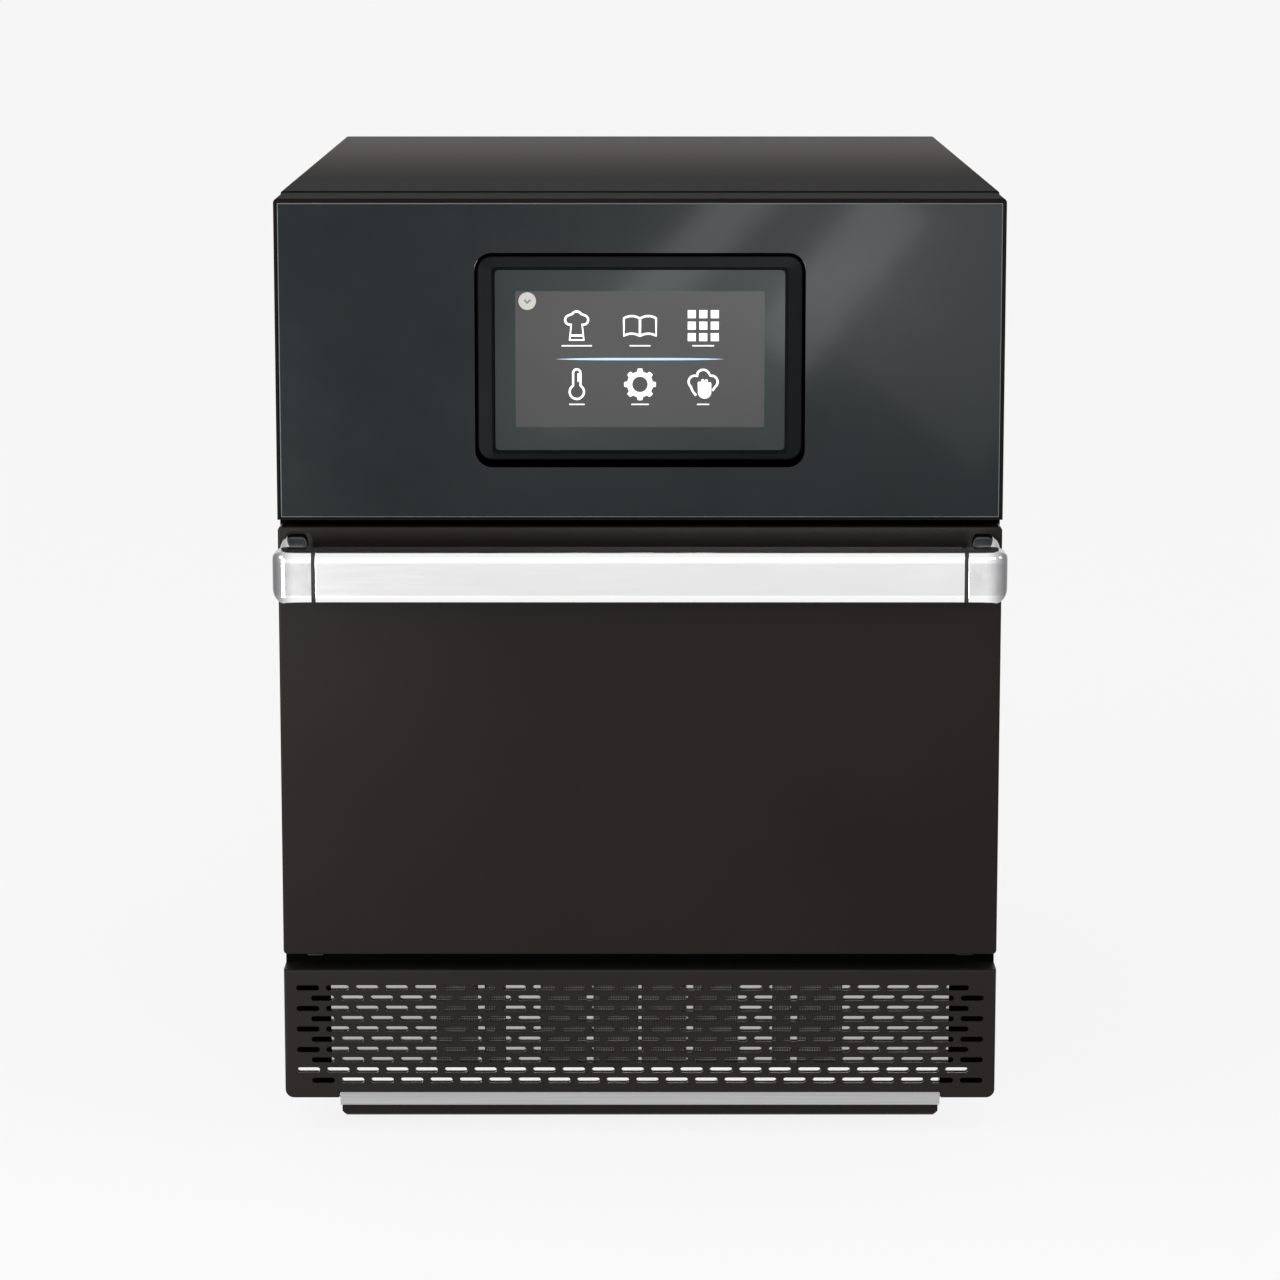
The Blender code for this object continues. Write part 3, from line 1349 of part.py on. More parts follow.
def make_interlocks(pivot):
    start = INNER_REAR + GAP
    tip = start + FINGER_LENGTH
    low = FINGER_LEVEL - FINGER_HEIGHT / 2
    high = FINGER_LEVEL + FINGER_HEIGHT / 2
    for side, sign in (("left", -1), ("right", 1)):
        outline = [
            (start, low),
            (tip - FINGER_NOSE, low),
            (tip, low + FINGER_NOSE),
            (tip, high - FINGER_NOSE),
            (tip - FINGER_NOSE, high),
            (start, high),
        ]
        first = sign * (FINGER_PLACE - FINGER_WIDTH / 2)
        last = sign * (FINGER_PLACE + FINGER_WIDTH / 2)
        add(f"interlock_finger_{side}", prism(along_x, [outline], first, last), ZINC, pivot)
        near = FRAME_FRONT + SHEET + GAP
        shape = pan(
            along_y,
            finger_slot(sign, INTERLOCK_WALL),
            finger_slot(sign),
            [],
            near + INTERLOCK_DEPTH,
            -INTERLOCK_WALL,
            -INTERLOCK_DEPTH,
        )
        add(f"interlock_switch_{side}", shape, BLACK_PLASTIC)


# Handle
END_WIDTH = 0.0253
BAR_HEIGHT = 0.0327
BAR_DEPTH = 0.028
BAR_DROP = 0.009
BAR_RADIUS = 0.0045
BAR_SEAM = 0.0005
ARM_WIDTH = 0.021
ARM_RISE = 0.006
ARM_DIP = 0.003
END_RADIUS = 0.0085
END_STEPS = 5
BOLT_RADIUS = 0.0025
BOLT_DEPTH = 0.010
BOLT_HEAD = 0.005
BOLT_HEAD_DEPTH = 0.003

BAR_WIDTH = CASE_WIDTH - 2 * END_WIDTH
BOLT_PLACE = HALF - END_WIDTH / 2
BAR_HIGH = DOOR_HIGH - BAR_DROP
BAR_LOW = BAR_HIGH - BAR_HEIGHT
BAR_FRONT = FRONT - HANDLE_REACH
BAR_REAR = BAR_FRONT + BAR_DEPTH
BAR_MIDDLE = (BAR_LOW + BAR_HIGH) / 2


def make_handle_bar(pivot):
    outline = rounded((BAR_FRONT, BAR_LOW), (BAR_REAR, BAR_HIGH), BAR_RADIUS, SMOOTH_ARC_STEPS)
    half = BAR_WIDTH / 2 - BAR_SEAM
    add("handle_bar", prism(along_x, [outline], -half, half), SATIN_METAL, pivot)


def end_outline(inset):
    """The bar's outline drawn in on all sides, half as much above and behind."""
    low = (BAR_FRONT + inset, BAR_LOW + inset)
    high = (BAR_REAR - inset / 2, BAR_HIGH - inset / 2)
    return rounded(low, high, BAR_RADIUS, SMOOTH_ARC_STEPS)


def end_block(sign):
    """Block that carries on from the bar and rounds off to its outer side."""
    bm = bmesh.new()
    rings = [loop(bm, along_x, end_outline(0), sign * BAR_WIDTH / 2)]
    for i in range(END_STEPS + 1):
        turn = math.radians(90 * i / END_STEPS)
        place = HALF - END_RADIUS * (1 - math.sin(turn))
        inset = END_RADIUS * (1 - math.cos(turn))
        rings.append(loop(bm, along_x, end_outline(inset), sign * place))
    cap(bm, [rings[0]])
    cap(bm, [rings[-1]])
    for first, second in zip(rings, rings[1:]):
        bridge(bm, first, second)
    return bm


def handle_arm(middle):
    """Arm from the end block back to the door, domed across, that sweeps up to the door."""
    bm = bmesh.new()
    rings = []
    start = BAR_REAR - BAR_RADIUS
    for i in range(END_STEPS + 1):
        share = i / END_STEPS
        rise = ARM_RISE * math.sin(math.radians(90 * share)) - ARM_DIP * (1 - share)
        low = (middle - ARM_WIDTH / 2, BAR_LOW + ARM_RISE)
        high = (middle + ARM_WIDTH / 2, BAR_HIGH + rise)
        outline = rounded(low, high, ARM_WIDTH / 3, SMOOTH_ARC_STEPS)
        rings.append(loop(bm, along_y, outline, start + (FRONT - GAP - start) * share))
    cap(bm, [rings[0]])
    cap(bm, [rings[-1]])
    for first, second in zip(rings, rings[1:]):
        bridge(bm, first, second)
    return bm


def bolt_bore(place, start, end):
    """Hole for a handle bolt, with its play."""
    profile = [(0, start), (BOLT_RADIUS + GAP, start), (BOLT_RADIUS + GAP, end), (0, end)]
    return turned(along_y, (place, BAR_MIDDLE), profile, SMALL_STEPS)


def make_handle_ends(pivot):
    """Cast end that closes the bar and carries it from the door on a rising arm."""
    for side, sign in (("left", -1), ("right", 1)):
        place = sign * BOLT_PLACE
        handle_end = add(f"handle_end_{side}", end_block(sign), SATIN_METAL, pivot)
        join(handle_end, f"end_arm_{side}", handle_arm(place))
        cut(handle_end, f"end_bore_{side}", bolt_bore(place, FRONT - BOLT_DEPTH, FRONT + CUT_OVERRUN))


def make_handle_bolts(pivot):
    """Bolts from inside the door into the two ends of the handle."""
    inside = FRONT + SHEET + DOOR_BEVEL / 2 + GAP
    for side, sign in (("left", -1), ("right", 1)):
        place = sign * BOLT_PLACE
        profile = [
            (0, FRONT - BOLT_DEPTH + GAP),
            (BOLT_RADIUS, FRONT - BOLT_DEPTH + GAP),
            (BOLT_RADIUS, inside),
            (BOLT_HEAD, inside),
            (BOLT_HEAD, inside + BOLT_HEAD_DEPTH),
            (0, inside + BOLT_HEAD_DEPTH),
        ]
        shape = turned(along_y, (place, BAR_MIDDLE), profile, SMALL_STEPS)
        add(f"handle_bolt_{side}", shape, ZINC, pivot)
        hole = bolt_bore(place, FRONT - CUT_OVERRUN, inside + CUT_OVERRUN)
        cut(bpy.data.objects["door_skin"], f"bolt_hole_{side}", hole)


# Intake panel and its filter
SLOT_LENGTH_SHARE = 0.77
SLOT_WIDTH = 0.0028
SLOT_SIDE_ROOM = 0.01994
SLOT_COLUMNS = 23
SLOT_ROWS = 10
SLOT_TOP = 0.012
SLOT_BOTTOM = 0.0118
PANEL_SHEET = 0.0015
PANEL_BEVEL = 0.0015
PANEL_CORNER = 0.004
LIP_INSET = 0.0355
LIP_HEIGHT = 0.0085
LIP_PLAY = 0.001
LIP_EDGE = 0.0012
FILTER_SETBACK = 0.0020
FILTER_RAISE = 0.011
FILTER_SHEET = 0.0015
FILTER_INSET = 0.030
FLANGE_INSET = 0.0065
FLANGE_HEIGHT = 0.0075
FILTER_TOP = 0.009
FILTER_RAIL = 0.009
FILTER_TOP_RAIL = 0.002
MESH_THICKNESS = 0.008
WINDOW_SHARES = (
    (-0.660, -0.524),
    (-0.503, -0.434),
    (-0.322, -0.172),
    (-0.151, -0.005),
    (0.005, 0.151),
    (0.172, 0.318),
    (0.428, 0.488),
    (0.509, 0.655),
)

SLOT_PITCH = (CASE_WIDTH - 2 * SLOT_SIDE_ROOM) / (SLOT_COLUMNS - 1)
SLOT_LENGTH = SLOT_LENGTH_SHARE * SLOT_PITCH
SLOT_ROW_PITCH = (PANEL_HEIGHT - SLOT_TOP - SLOT_BOTTOM) / (SLOT_ROWS - 1)
LIP_WIDTH = CASE_WIDTH - 2 * LIP_INSET
FILTER_HALF = HALF - FILTER_INSET
LIP_LOW = FOOT_HEIGHT + PLINTH_HEIGHT + GAP
LIP_HIGH = LIP_LOW + LIP_HEIGHT


def panel_outline(inset):
    """Panel seen from the front, with cut lower corners and the notch over the filter's lip."""
    half = HALF - inset
    low = PANEL_LOW + inset
    high = PANEL_HIGH - inset
    notch = LIP_WIDTH / 2 + LIP_PLAY + inset
    step = LIP_HIGH + GAP + inset
    corner = PANEL_CORNER - inset / 2
    return [
        (-half, low + corner),
        (-half + corner, low),
        (-notch, low),
        (-notch, step),
        (notch, step),
        (notch, low),
        (half - corner, low),
        (half, low + corner),
        (half, high),
        (-half, high),
    ]


def grille_slots():
    """Ten rows of slots, every second row moved by half a pitch."""
    holes = []
    for row in range(SLOT_ROWS):
        level = PANEL_HIGH - SLOT_TOP - row * SLOT_ROW_PITCH
        shift = -SLOT_PITCH / 4 if row % 2 == 0 else SLOT_PITCH / 4
        for column in range(SLOT_COLUMNS):
            x = (column - (SLOT_COLUMNS - 1) / 2) * SLOT_PITCH + shift
            holes.append(slot((x, level), SLOT_LENGTH, SLOT_WIDTH))
    return holes


def make_grille_panel(pivot):
    shape = pan(
        along_y,
        panel_outline(0),
        panel_outline(PANEL_SHEET),
        grille_slots(),
        FRONT,
        PANEL_SHEET,
        FRONT_DEPTH - GAP,
        edge=(panel_outline(PANEL_BEVEL), PANEL_BEVEL),
    )
    panel = add("grille_panel", shape, BLACK_PAINT, pivot)
    half = LIP_WIDTH / 2 + LIP_PLAY
    low = (-half, PANEL_LOW - CUT_OVERRUN)
    high = (half, LIP_HIGH + GAP + PANEL_SHEET + GAP)
    room = prism(along_y, [rectangle(low, high)], FRONT + PANEL_SHEET, FRAME_FRONT + CUT_OVERRUN)
    cut(panel, "lip_room", room)


def make_air_filter(pivot):
    """Bright frame behind the slots: windows for the air, a wide flange below and a tongue to the lip."""
    start = FRONT + PANEL_SHEET + FILTER_SETBACK
    high = PANEL_HIGH - FILTER_TOP
    low = LIP_HIGH + FILTER_RAISE
    half = LIP_WIDTH / 2
    flange = HALF - FLANGE_INSET
    tongue = LIP_LOW + LIP_HEIGHT / 2
    windows = []
    for near, far in WINDOW_SHARES:
        low_corner = (near * FILTER_HALF, low + FILTER_RAIL)
        windows.append(rectangle(low_corner, (far * FILTER_HALF, high - FILTER_TOP_RAIL)))
    outline = [
        (-half, tongue),
        (half, tongue),
        (half, low),
        (flange, low),
        (flange, low + FLANGE_HEIGHT),
        (FILTER_HALF, low + FLANGE_HEIGHT),
        (FILTER_HALF, high),
        (-FILTER_HALF, high),
        (-FILTER_HALF, low + FLANGE_HEIGHT),
        (-flange, low + FLANGE_HEIGHT),
        (-flange, low),
        (-half, low),
    ]
    shape = prism(along_y, [outline] + windows, start, start + FILTER_SHEET)
    frame = add("air_filter", shape, SATIN_METAL, pivot)
    back = start + FILTER_SHEET
    front = FRONT - PLINTH_SETBACK / 2
    lip = [
        (back, LIP_LOW),
        (back, LIP_HIGH),
        (front + LIP_EDGE, LIP_HIGH),
        (front, LIP_HIGH - LIP_EDGE),
        (front, LIP_LOW + LIP_EDGE),
        (front + LIP_EDGE, LIP_LOW),
    ]
    join(frame, "filter_lip", prism(along_x, [lip], -half, half))


def make_filter_mesh(pivot):
    start = FRONT + PANEL_SHEET + FILTER_SETBACK + FILTER_SHEET + GAP
    high = PANEL_HIGH - FILTER_TOP
    low = LIP_HIGH + FILTER_RAISE
    corners = rectangle((-FILTER_HALF, low), (FILTER_HALF, high))
    shape = prism(along_y, [corners], start, start + MESH_THICKNESS)
    add("filter_mesh", shape, BLACK_PLASTIC, pivot)


def main():
    for obj in list(bpy.data.objects):
        bpy.data.objects.remove(obj, do_unlink=True)
    door = add_pivot("door_pivot", (0, HINGE_Y, HINGE_Z))
    intake = add_pivot("intake_pivot", (0, FRONT, PANEL_LOW))
    shelf = add_pivot("cook_plate_pivot", (0, CAVITY_FRONT, CAVITY_LOW + LEDGE_RAISE))
    blower = add_pivot("convection_fan_pivot", (0, CHAMBER_FRONT, CAVITY_MIDDLE))
    rocker = add_pivot("power_rocker_pivot", (SWITCH_PLACE, REAR, SWITCH_LEVEL))
    coolers = {
        side: add_pivot(f"cooling_rotor_{side}_pivot", (sign * COOLER_PLACE, COOLER_REAR, COOLER_LEVEL))
        for side, sign in (("left", -1), ("right", 1))
    }
    make_feet()
    make_base_pan()
    make_plinth_strip()
    make_front_frame()
    make_cavity_shell()
    make_cook_plate(shelf)
    make_impinger_plate()
    make_fan_cover()
    make_insulation()
    make_fan_chamber()
    make_heater()
    make_convection_fan(blower)
    make_convection_motor()
    make_waveguide()
    make_magnetrons()
    make_power_supplies()
    make_catalyst()
    make_cooling_fans(coolers)
    make_outer_cover()
    make_rear_panel()
    make_cable_gland()
    make_switch(rocker)
    make_front_housing()
    make_fascia_glass()
    make_screen_bezel()
    make_display()
    make_door_skin(door)
    make_door_inner(door)
    make_door_seal(door)
    make_door_choke(door)
    make_door_insulation(door)
    make_hinges(door)
    make_interlocks(door)
    make_handle_bar(door)
    make_handle_ends(door)
    make_handle_bolts(door)
    make_grille_panel(intake)
    make_air_filter(intake)
    make_filter_mesh(intake)


main()
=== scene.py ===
"""Looks of the countertop speed oven: its finishes, its fine pieces and the studio that it stands in."""

import json
import math

import bpy
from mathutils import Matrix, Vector


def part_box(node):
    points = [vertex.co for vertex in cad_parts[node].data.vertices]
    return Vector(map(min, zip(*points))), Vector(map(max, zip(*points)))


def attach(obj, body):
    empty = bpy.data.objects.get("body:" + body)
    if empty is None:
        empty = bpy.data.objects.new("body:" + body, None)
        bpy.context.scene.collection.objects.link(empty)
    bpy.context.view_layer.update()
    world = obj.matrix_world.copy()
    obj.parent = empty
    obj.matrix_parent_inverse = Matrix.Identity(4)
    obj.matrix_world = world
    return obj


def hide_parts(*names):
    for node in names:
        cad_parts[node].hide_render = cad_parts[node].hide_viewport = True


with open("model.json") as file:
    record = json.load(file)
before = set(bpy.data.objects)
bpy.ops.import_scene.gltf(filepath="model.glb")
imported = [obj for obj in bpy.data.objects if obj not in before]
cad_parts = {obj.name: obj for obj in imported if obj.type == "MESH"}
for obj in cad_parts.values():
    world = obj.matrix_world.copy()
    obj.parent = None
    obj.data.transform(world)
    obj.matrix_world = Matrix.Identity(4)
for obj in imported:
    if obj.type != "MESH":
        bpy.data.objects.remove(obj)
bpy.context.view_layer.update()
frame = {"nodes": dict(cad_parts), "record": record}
NODES = frame["nodes"]

# The photograph's camera, as a distance from the front, a height and a lean
PICTURE_WIDTH = 1280
FOCAL_PIXELS = 4378
SENSOR = 36.0
CAMERA_DISTANCE = 2.732
CAMERA_HEIGHT = 0.790
CAMERA_LEAN = 9.69

# The studio
PAPER = (0.921, 0.921, 0.921)
PAPER_SEEN = (0.958, 0.958, 0.958)
PAPER_SHARE = 0.90
SKY_POWER = 0.65
FLOOR_REACH = 60.0
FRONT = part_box("fascia_glass")[0].y
MIDDLE = (0, FRONT, 0.30)

# A key and a fill lamp, four that streak and brighten the fascia, and a low one for the door's left.
# Each has a name, a place, the point that it faces, a width, a height, a power and a roll in degrees
LAMPS = (
    ("key_lamp", (-1.9, -1.9, 1.6), MIDDLE, 1.4, 1.4, 24, 0),
    ("fill_lamp", (2.2, -1.6, 1.3), MIDDLE, 1.2, 1.2, 8, 0),
    ("wide_streak_lamp", (0.37, -2.0, 0.46), (0.22, FRONT, 0.54), 0.26, 0.42, 0.6, -38),
    ("patch_lamp", (0.20, -2.0, 0.41), (0.12, FRONT, 0.55), 0.07, 0.20, 0.30, -38),
    ("slim_streak_lamp", (0.04, -2.0, 0.42), (0.02, FRONT, 0.56), 0.05, 0.40, 0.45, -44),
    ("ridge_lamp", (0.20, -2.1, 0.88), (0.05, FRONT, 0.55), 0.6, 0.3, 9.0, 0),
    ("door_lamp", (-0.88, -1.9, 0.20), (-0.2, FRONT, 0.20), 0.7, 0.4, 17.0, 0),
)

# Mesh work
TURNS = {"X": (0, math.pi / 2, 0), "Y": (math.pi / 2, 0, 0), "Z": (0, 0, 0)}
SMOOTH = math.radians(32)
MERGE = 0.000005
SQUARE_ON = 0.99
PARALLEL = 0.999
ROUND_SIDES = 48
RING_SIDES = (24, 6)

# The finishes: the part of a noise that counts, where a tint starts and ends, and looks of their own
NOISE_RANGE = (0.25, 0.75)
TINT_STOPS = (0.3, 0.7)
BRUSHED_THIN = 0.012
COAT_WEIGHT = 0.15
COAT_ROUGHNESS = 0.06
SPANGLES = 110.0
SPANGLE_SWING = (-0.06, 0.1)
TRACKS = 170.0
TRACK_GAP = 0.03
TRACK_RELIEF = (0.00005, 0.6)

# The cover
# The top's paint turns paler towards the back: a painted sheen
LID_SHEEN_COLOUR = (0.105, 0.096, 0.089)
LID_BAND = 0.004
LID_SHEEN_FADE = (-0.19, 0.36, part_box("outer_cover")[1].z - LID_BAND)
COVER_SHEET = 0.0012
COVER_SKIRT = 0.0045
COVER_FOLD = 0.0016
COVER_FRONT_EDGE = 0.0007
COVER_SCREW_RISE = 0.016
COVER_SCREW_SHARES = (0.06, 0.50, 0.94)

# The rear
GAP = 0.0003
REAR_SCREW_INSET = 0.009
REAR_SCREW_SHARES = (0.04, 0.35, 0.66, 0.97)
FAN_SCREW_INSET = 0.0055
SCREW_RADIUS = 0.0034
SCREW_RISE = 0.0013
SCREW_SLOT = 0.00045
GLAND_NUT = 0.007
GLAND_EDGE = 0.0008
GLAND_SLEEVE = 0.72
GLAND_WALL = 0.16
GLAND_BORE = 0.012
MARK_PEN = 0.0007
ROCKER_FACE = 0.3630
FOOT_ROUND = 0.0025
REAR_CORNER = 0.0016
VENT_SIZE = (0.0045, 0.034)
VENT_COLUMNS = 18
VENT_PITCH = 0.017
VENT_DROP = 0.060
VENT_ROW_PITCH = 0.050
GUARD_RINGS = ((0.0180, 0.0260), (0.0310, 0.0400))
GUARD_WEB = 18
GUARD_STEPS = 12
GUARD_START = 0.0005
GLAND_HOLE = 0.0098
SWITCH_HOLE = (0.0206, 0.0276)

# The door
DOOR_CORNER = 0.0028
DOOR_EDGE = 0.0012
HINGE_PLAY = 0.0010
HINGE_DEPTH = 0.0044
PLUG_PLAY = 0.0040
PLUG_CORNER = 0.0095
PLUG_CROWN = 0.0030
SEAL_CORNER = 0.020
SEAL_WIDTH = 0.007
SEAL_LIP = 0.0010

# The inside
PLATE_CORNER = 0.010
PLATE_SHEET = 0.0025
FAN_COVER_RINGS = ((0.415, 16), (0.695, 26))
FAN_COVER_SLOT = (0.017, 0.0045)
FAN_COVER_SIDES = 96
HOUSING_FOLD = 0.0024
HOUSING_STEP = 0.0009
HOUSING_EDGE = 0.0006
HOUSING_WALL = 0.0018

# The front
GLASS_EDGE = 0.0007
GLASS_PLAY = 0.0001
SLANTED = 0.05
GRILLE_CORNER = 0.0055
GRILLE_EDGE = 0.0015
SHEET = 0.0011
NOTCH_PLAY = 0.002
NOTCH_RISE = 0.0091
SLOT_ROWS = 10
SLOT_COLUMNS = 23
SLOT_PITCH = 0.01896
SLOT_ROW_PITCH = 0.0068
SLOT_SIZE = (0.0147, 0.0035)
SLOT_DROP = 0.012
FLANGE_BACK = 0.0022
FLANGE_SHEET = 0.0003
FLANGE_TALL = 0.0074
FLANGE_DROP = 0.006
WIRE_PITCH = 0.0016
WIRE_THICKNESS = 0.0005

# The handle
BAR_ROUND = 0.0045
END_ROUND = 0.0085
END_SQUEEZE = 1.5
END_HEART = 2 / 3
SEAM_ROUND = 0.0003
SPACER_WIDTH = 0.0026
SPACER_SINK = 0.0006
SWEEP_STEPS = 10
ARM_RISE = 0.006
ARM_DIP = 0.003
ARM_WIDTH = 0.021
# The castings turn dark grey on their outer sides: a painted reflection of darker surroundings
END_SIDE_REFLECTION = (0.17, 0.17, 0.18)
END_REFLECTION_FADE = (0.2140, 0.2285)
# The handle's colour turns near white towards its top and bottom edges: a painted highlight
EDGE_HIGHLIGHT = (0.97, 0.97, 0.97)
EDGE_HIGHLIGHT_FADE = (0.0095, 0.0108)
BAR_SHIFT = 0.0006
BAR_MIDDLE = (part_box("handle_bar")[0].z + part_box("handle_bar")[1].z) / 2 - BAR_SHIFT

# The display
BEZEL_ROUND = 0.011
BEZEL_EDGE = 0.0005
BEZEL_LEAN = 0.0009
BEZEL_SLOPE = 0.0020
BEZEL_FOOT = 0.0001
BEZEL_SHIFT = 0.0015
# Where the bezel's outer rim turns near black: painted shade
BEZEL_SHADED_RIM = (0.0080, 0.0093)
FILM = 0.00008
PICTURE_ROUND = 0.0008
PICTURE_SIZE = (0.156, 0.0854)
PICTURE_LEVEL = 0.0007
DIVIDER_LEVEL = 0.0008
KEY_PLACE = (-0.0705, 0.0372)
ICON_LEVELS = (0.0218, -0.0151)
ICON_PITCH = 0.0396

# The drawings on the display, in millimetres
MILLIMETRE = 0.001
PEN = 1.6
CAPTION_LEVEL = -12.6
CAPTION_PEN = 0.9
CAPTION_HALVES = {"hat": 9.5, "book": 6.5, "squares": 6.8, "thermometer": 4.8, "gear": 5.4, "mitt": 3.8}
DIVIDER = (53.0, 0.75)
DIVIDER_SHARES = [place / 10 for place in range(-10, 11)]
KEY_RADIUS = 5.5
SQUARE = 2.5
SQUARE_PITCH = 7.2
GEAR_TEETH = 8
GEAR_RADII = (10.0, 8.1, 4.9)
GEAR_TIP = 16
GEAR_FOOT = 26


def choose(piece):
    """Leaves only this piece selected and active."""
    bpy.ops.object.select_all(action="DESELECT")
    piece.select_set(True)
    bpy.context.view_layer.objects.active = piece
    return piece


def start_block(name, low, high):
    """A block between two corners."""
    low, high = Vector(low), Vector(high)
    bpy.ops.mesh.primitive_cube_add(size=1, location=(low + high) / 2)
    bpy.context.object.scale = high - low
    return settle(name)


def round_block(name, low, high, axis, radius, steps):
    """A block whose edges along one axis are rounded."""
    block = start_block(name, low, high)
    return round_edges(block, runs_along(block, axis), radius, steps)


def start_rod(name, centre, radius, length, axis="Y", sides=ROUND_SIDES):
    """A rod whose middle is at centre."""
    bpy.ops.mesh.primitive_cylinder_add(
        vertices=sides, radius=radius, depth=length, location=centre, rotation=TURNS[axis]
    )
    return settle(name)


def start_ring(name, centre, radius, thickness):
    """A round ring about an axis from front to back."""
    bpy.ops.mesh.primitive_torus_add(
        major_segments=RING_SIDES[0],
        minor_segments=RING_SIDES[1],
        major_radius=radius,
        minor_radius=thickness / 2,
        location=centre,
        rotation=TURNS["Y"],
    )
    return settle(name)


def settle(name):
    """Names the active piece, and writes its place, turn and scale into its mesh."""
    bpy.ops.object.transform_apply(location=True, rotation=True, scale=True)
    piece = bpy.context.object
    piece.name = name
    piece.data.name = name
    return piece


def pick(piece, kind, test):
    """Goes into edit mode with only the points, edges or faces selected that pass a test."""
    choose(piece)
    bpy.ops.object.mode_set(mode="EDIT")
    bpy.ops.mesh.select_mode(type=kind)
    bpy.ops.mesh.select_all(action="DESELECT")
    bpy.ops.object.mode_set(mode="OBJECT")
    mesh = piece.data
    for part in {"VERT": mesh.vertices, "EDGE": mesh.edges, "FACE": mesh.polygons}[kind]:
        part.select = test(part)
    bpy.ops.object.mode_set(mode="EDIT")


def leave(piece):
    """Goes back to object mode."""
    bpy.ops.object.mode_set(mode="OBJECT")
    return piece


def runs_along(piece, axis):
    """A test for edges that run along one axis."""
    points = piece.data.vertices

    def test(edge):
        run = points[edge.vertices[1]].co - points[edge.vertices[0]].co
        return abs(run[axis]) > PARALLEL * run.length

    return test


def long_edges_at(piece, level):
    """A test for edges that run from front to back at one height."""
    points = piece.data.vertices
    along = runs_along(piece, 1)
    return lambda edge: along(edge) and abs(points[edge.vertices[0]].co.z - level) < MERGE


def faces_to(axis, sign):
    """A test for faces that look one way along an axis."""
    return lambda face: face.normal[axis] * sign > SQUARE_ON


def faces_sideways(face):
    """A test for faces that look left or right."""
    return abs(face.normal.x) > SQUARE_ON


def round_edges(piece, test, radius, steps=5):
    """Rounds the edges that pass a test."""
    pick(piece, "EDGE", test)
    bpy.ops.mesh.bevel(offset=radius, segments=steps, affect="EDGES", clamp_overlap=True)
    return leave(piece)


def round_rim(piece, test, radius, steps=4):
    """Rounds the edges round the faces that pass a test."""
    pick(piece, "FACE", test)
    bpy.ops.mesh.bevel(offset=radius, segments=steps, affect="EDGES", clamp_overlap=True)
    return leave(piece)


def extrude(move):
    """Moves the selected faces on, with new faces round them."""
    bpy.ops.mesh.extrude_region_move(TRANSFORM_OT_translate={"value": move})


def sweep_on(piece, axis, reach, scale, centre):
    """Draws the end of a piece out along an axis by one step, and scales it about a point."""
    pick(piece, "FACE", faces_to(axis, 1))
    extrude([reach if i == axis else 0 for i in range(3)])
    bpy.ops.transform.resize(value=scale, center_override=centre)
    return leave(piece)


def smoothed(piece):
    """Smooth shading, with the sharp edges kept and the large faces flat."""
    choose(piece)
    bpy.ops.object.shade_smooth_by_angle(angle=SMOOTH)
    modifier = piece.modifiers.new("flat_faces", "WEIGHTED_NORMAL")
    modifier.keep_sharp = True
    bpy.ops.object.modifier_apply(modifier=modifier.name)
    return piece


def turned_out(piece):
    """Makes all faces look outwards."""
    pick(piece, "FACE", lambda face: True)
    bpy.ops.mesh.remove_doubles(threshold=MERGE)
    bpy.ops.mesh.normals_make_consistent(inside=False)
    return leave(piece)


def mirror_copy(piece, name):
    """A second piece with its own mesh, on the other side of the middle."""
    choose(piece)
    bpy.ops.object.duplicate()
    bpy.context.object.scale = (-1, 1, 1)
    return turned_out(settle(name))


def copy_to(piece, name, move):
    """A copy with its own mesh, moved."""
    choose(piece)
    bpy.ops.object.duplicate()
    bpy.ops.transform.translate(value=move)
    return settle(name)


def repeated(piece, moves):
    """Copies all of a mesh again and again inside one piece, each copy moved on from the last one."""
    pick(piece, "FACE", lambda face: True)
    for move in moves:
        bpy.ops.mesh.duplicate_move(TRANSFORM_OT_translate={"value": move})
    return leave(piece)


def joined(name, pieces):
    """Several loose shapes as one piece."""
    choose(pieces[0])
    for piece in pieces:
        piece.select_set(True)
    if len(pieces) > 1:
        bpy.ops.object.join()
    return settle(name)


def boolean(piece, tool, operation="DIFFERENCE"):
    """Cuts a tool out of a piece, or joins it to the piece, and removes the tool."""
    modifier = piece.modifiers.new(operation, "BOOLEAN")
    modifier.operation = operation
    modifier.object = tool
    choose(piece)
    bpy.ops.object.modifier_apply(modifier=modifier.name)
    bpy.data.objects.remove(tool, do_unlink=True)
    return piece


def cut_block(piece, low, high):
    """Cuts a block between two corners out of a piece."""
    return boolean(piece, start_block("cutter", low, high))


def hollow_out(piece, low, high, sheet):
    """Leaves a pan of sheet metal of a block, open at the back."""
    return cut_block(piece, low + Vector((sheet, sheet, sheet)), high + Vector((-sheet, sheet, -sheet)))


def fit(piece, material, body, slot, *replaced):
    """Finishes a piece: its material, the body it rides on, and the nodes it stands for, which it hides. The
    slot is not used.
    """
    wear(piece, material)
    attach(piece, body)
    if replaced:
        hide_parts(*replaced)
    return piece


def paint_faces(piece, material, test):
    """Gives the faces that pass a test a material of their own."""
    piece.data.materials.append(material)
    for face in piece.data.polygons:
        if test(face):
            face.material_index = len(piece.data.materials) - 1


def middle_of(node):
    """The middle of a node's box."""
    low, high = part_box(node)
    return (low + high) / 2


def arc_points(centre, radius, start, turn, steps=12):
    """Points on an arc in X and Z, in degrees."""
    angles = [math.radians(start + turn * i / steps) for i in range(steps + 1)]
    return [(centre[0] + radius * math.cos(a), centre[1] + radius * math.sin(a)) for a in angles]


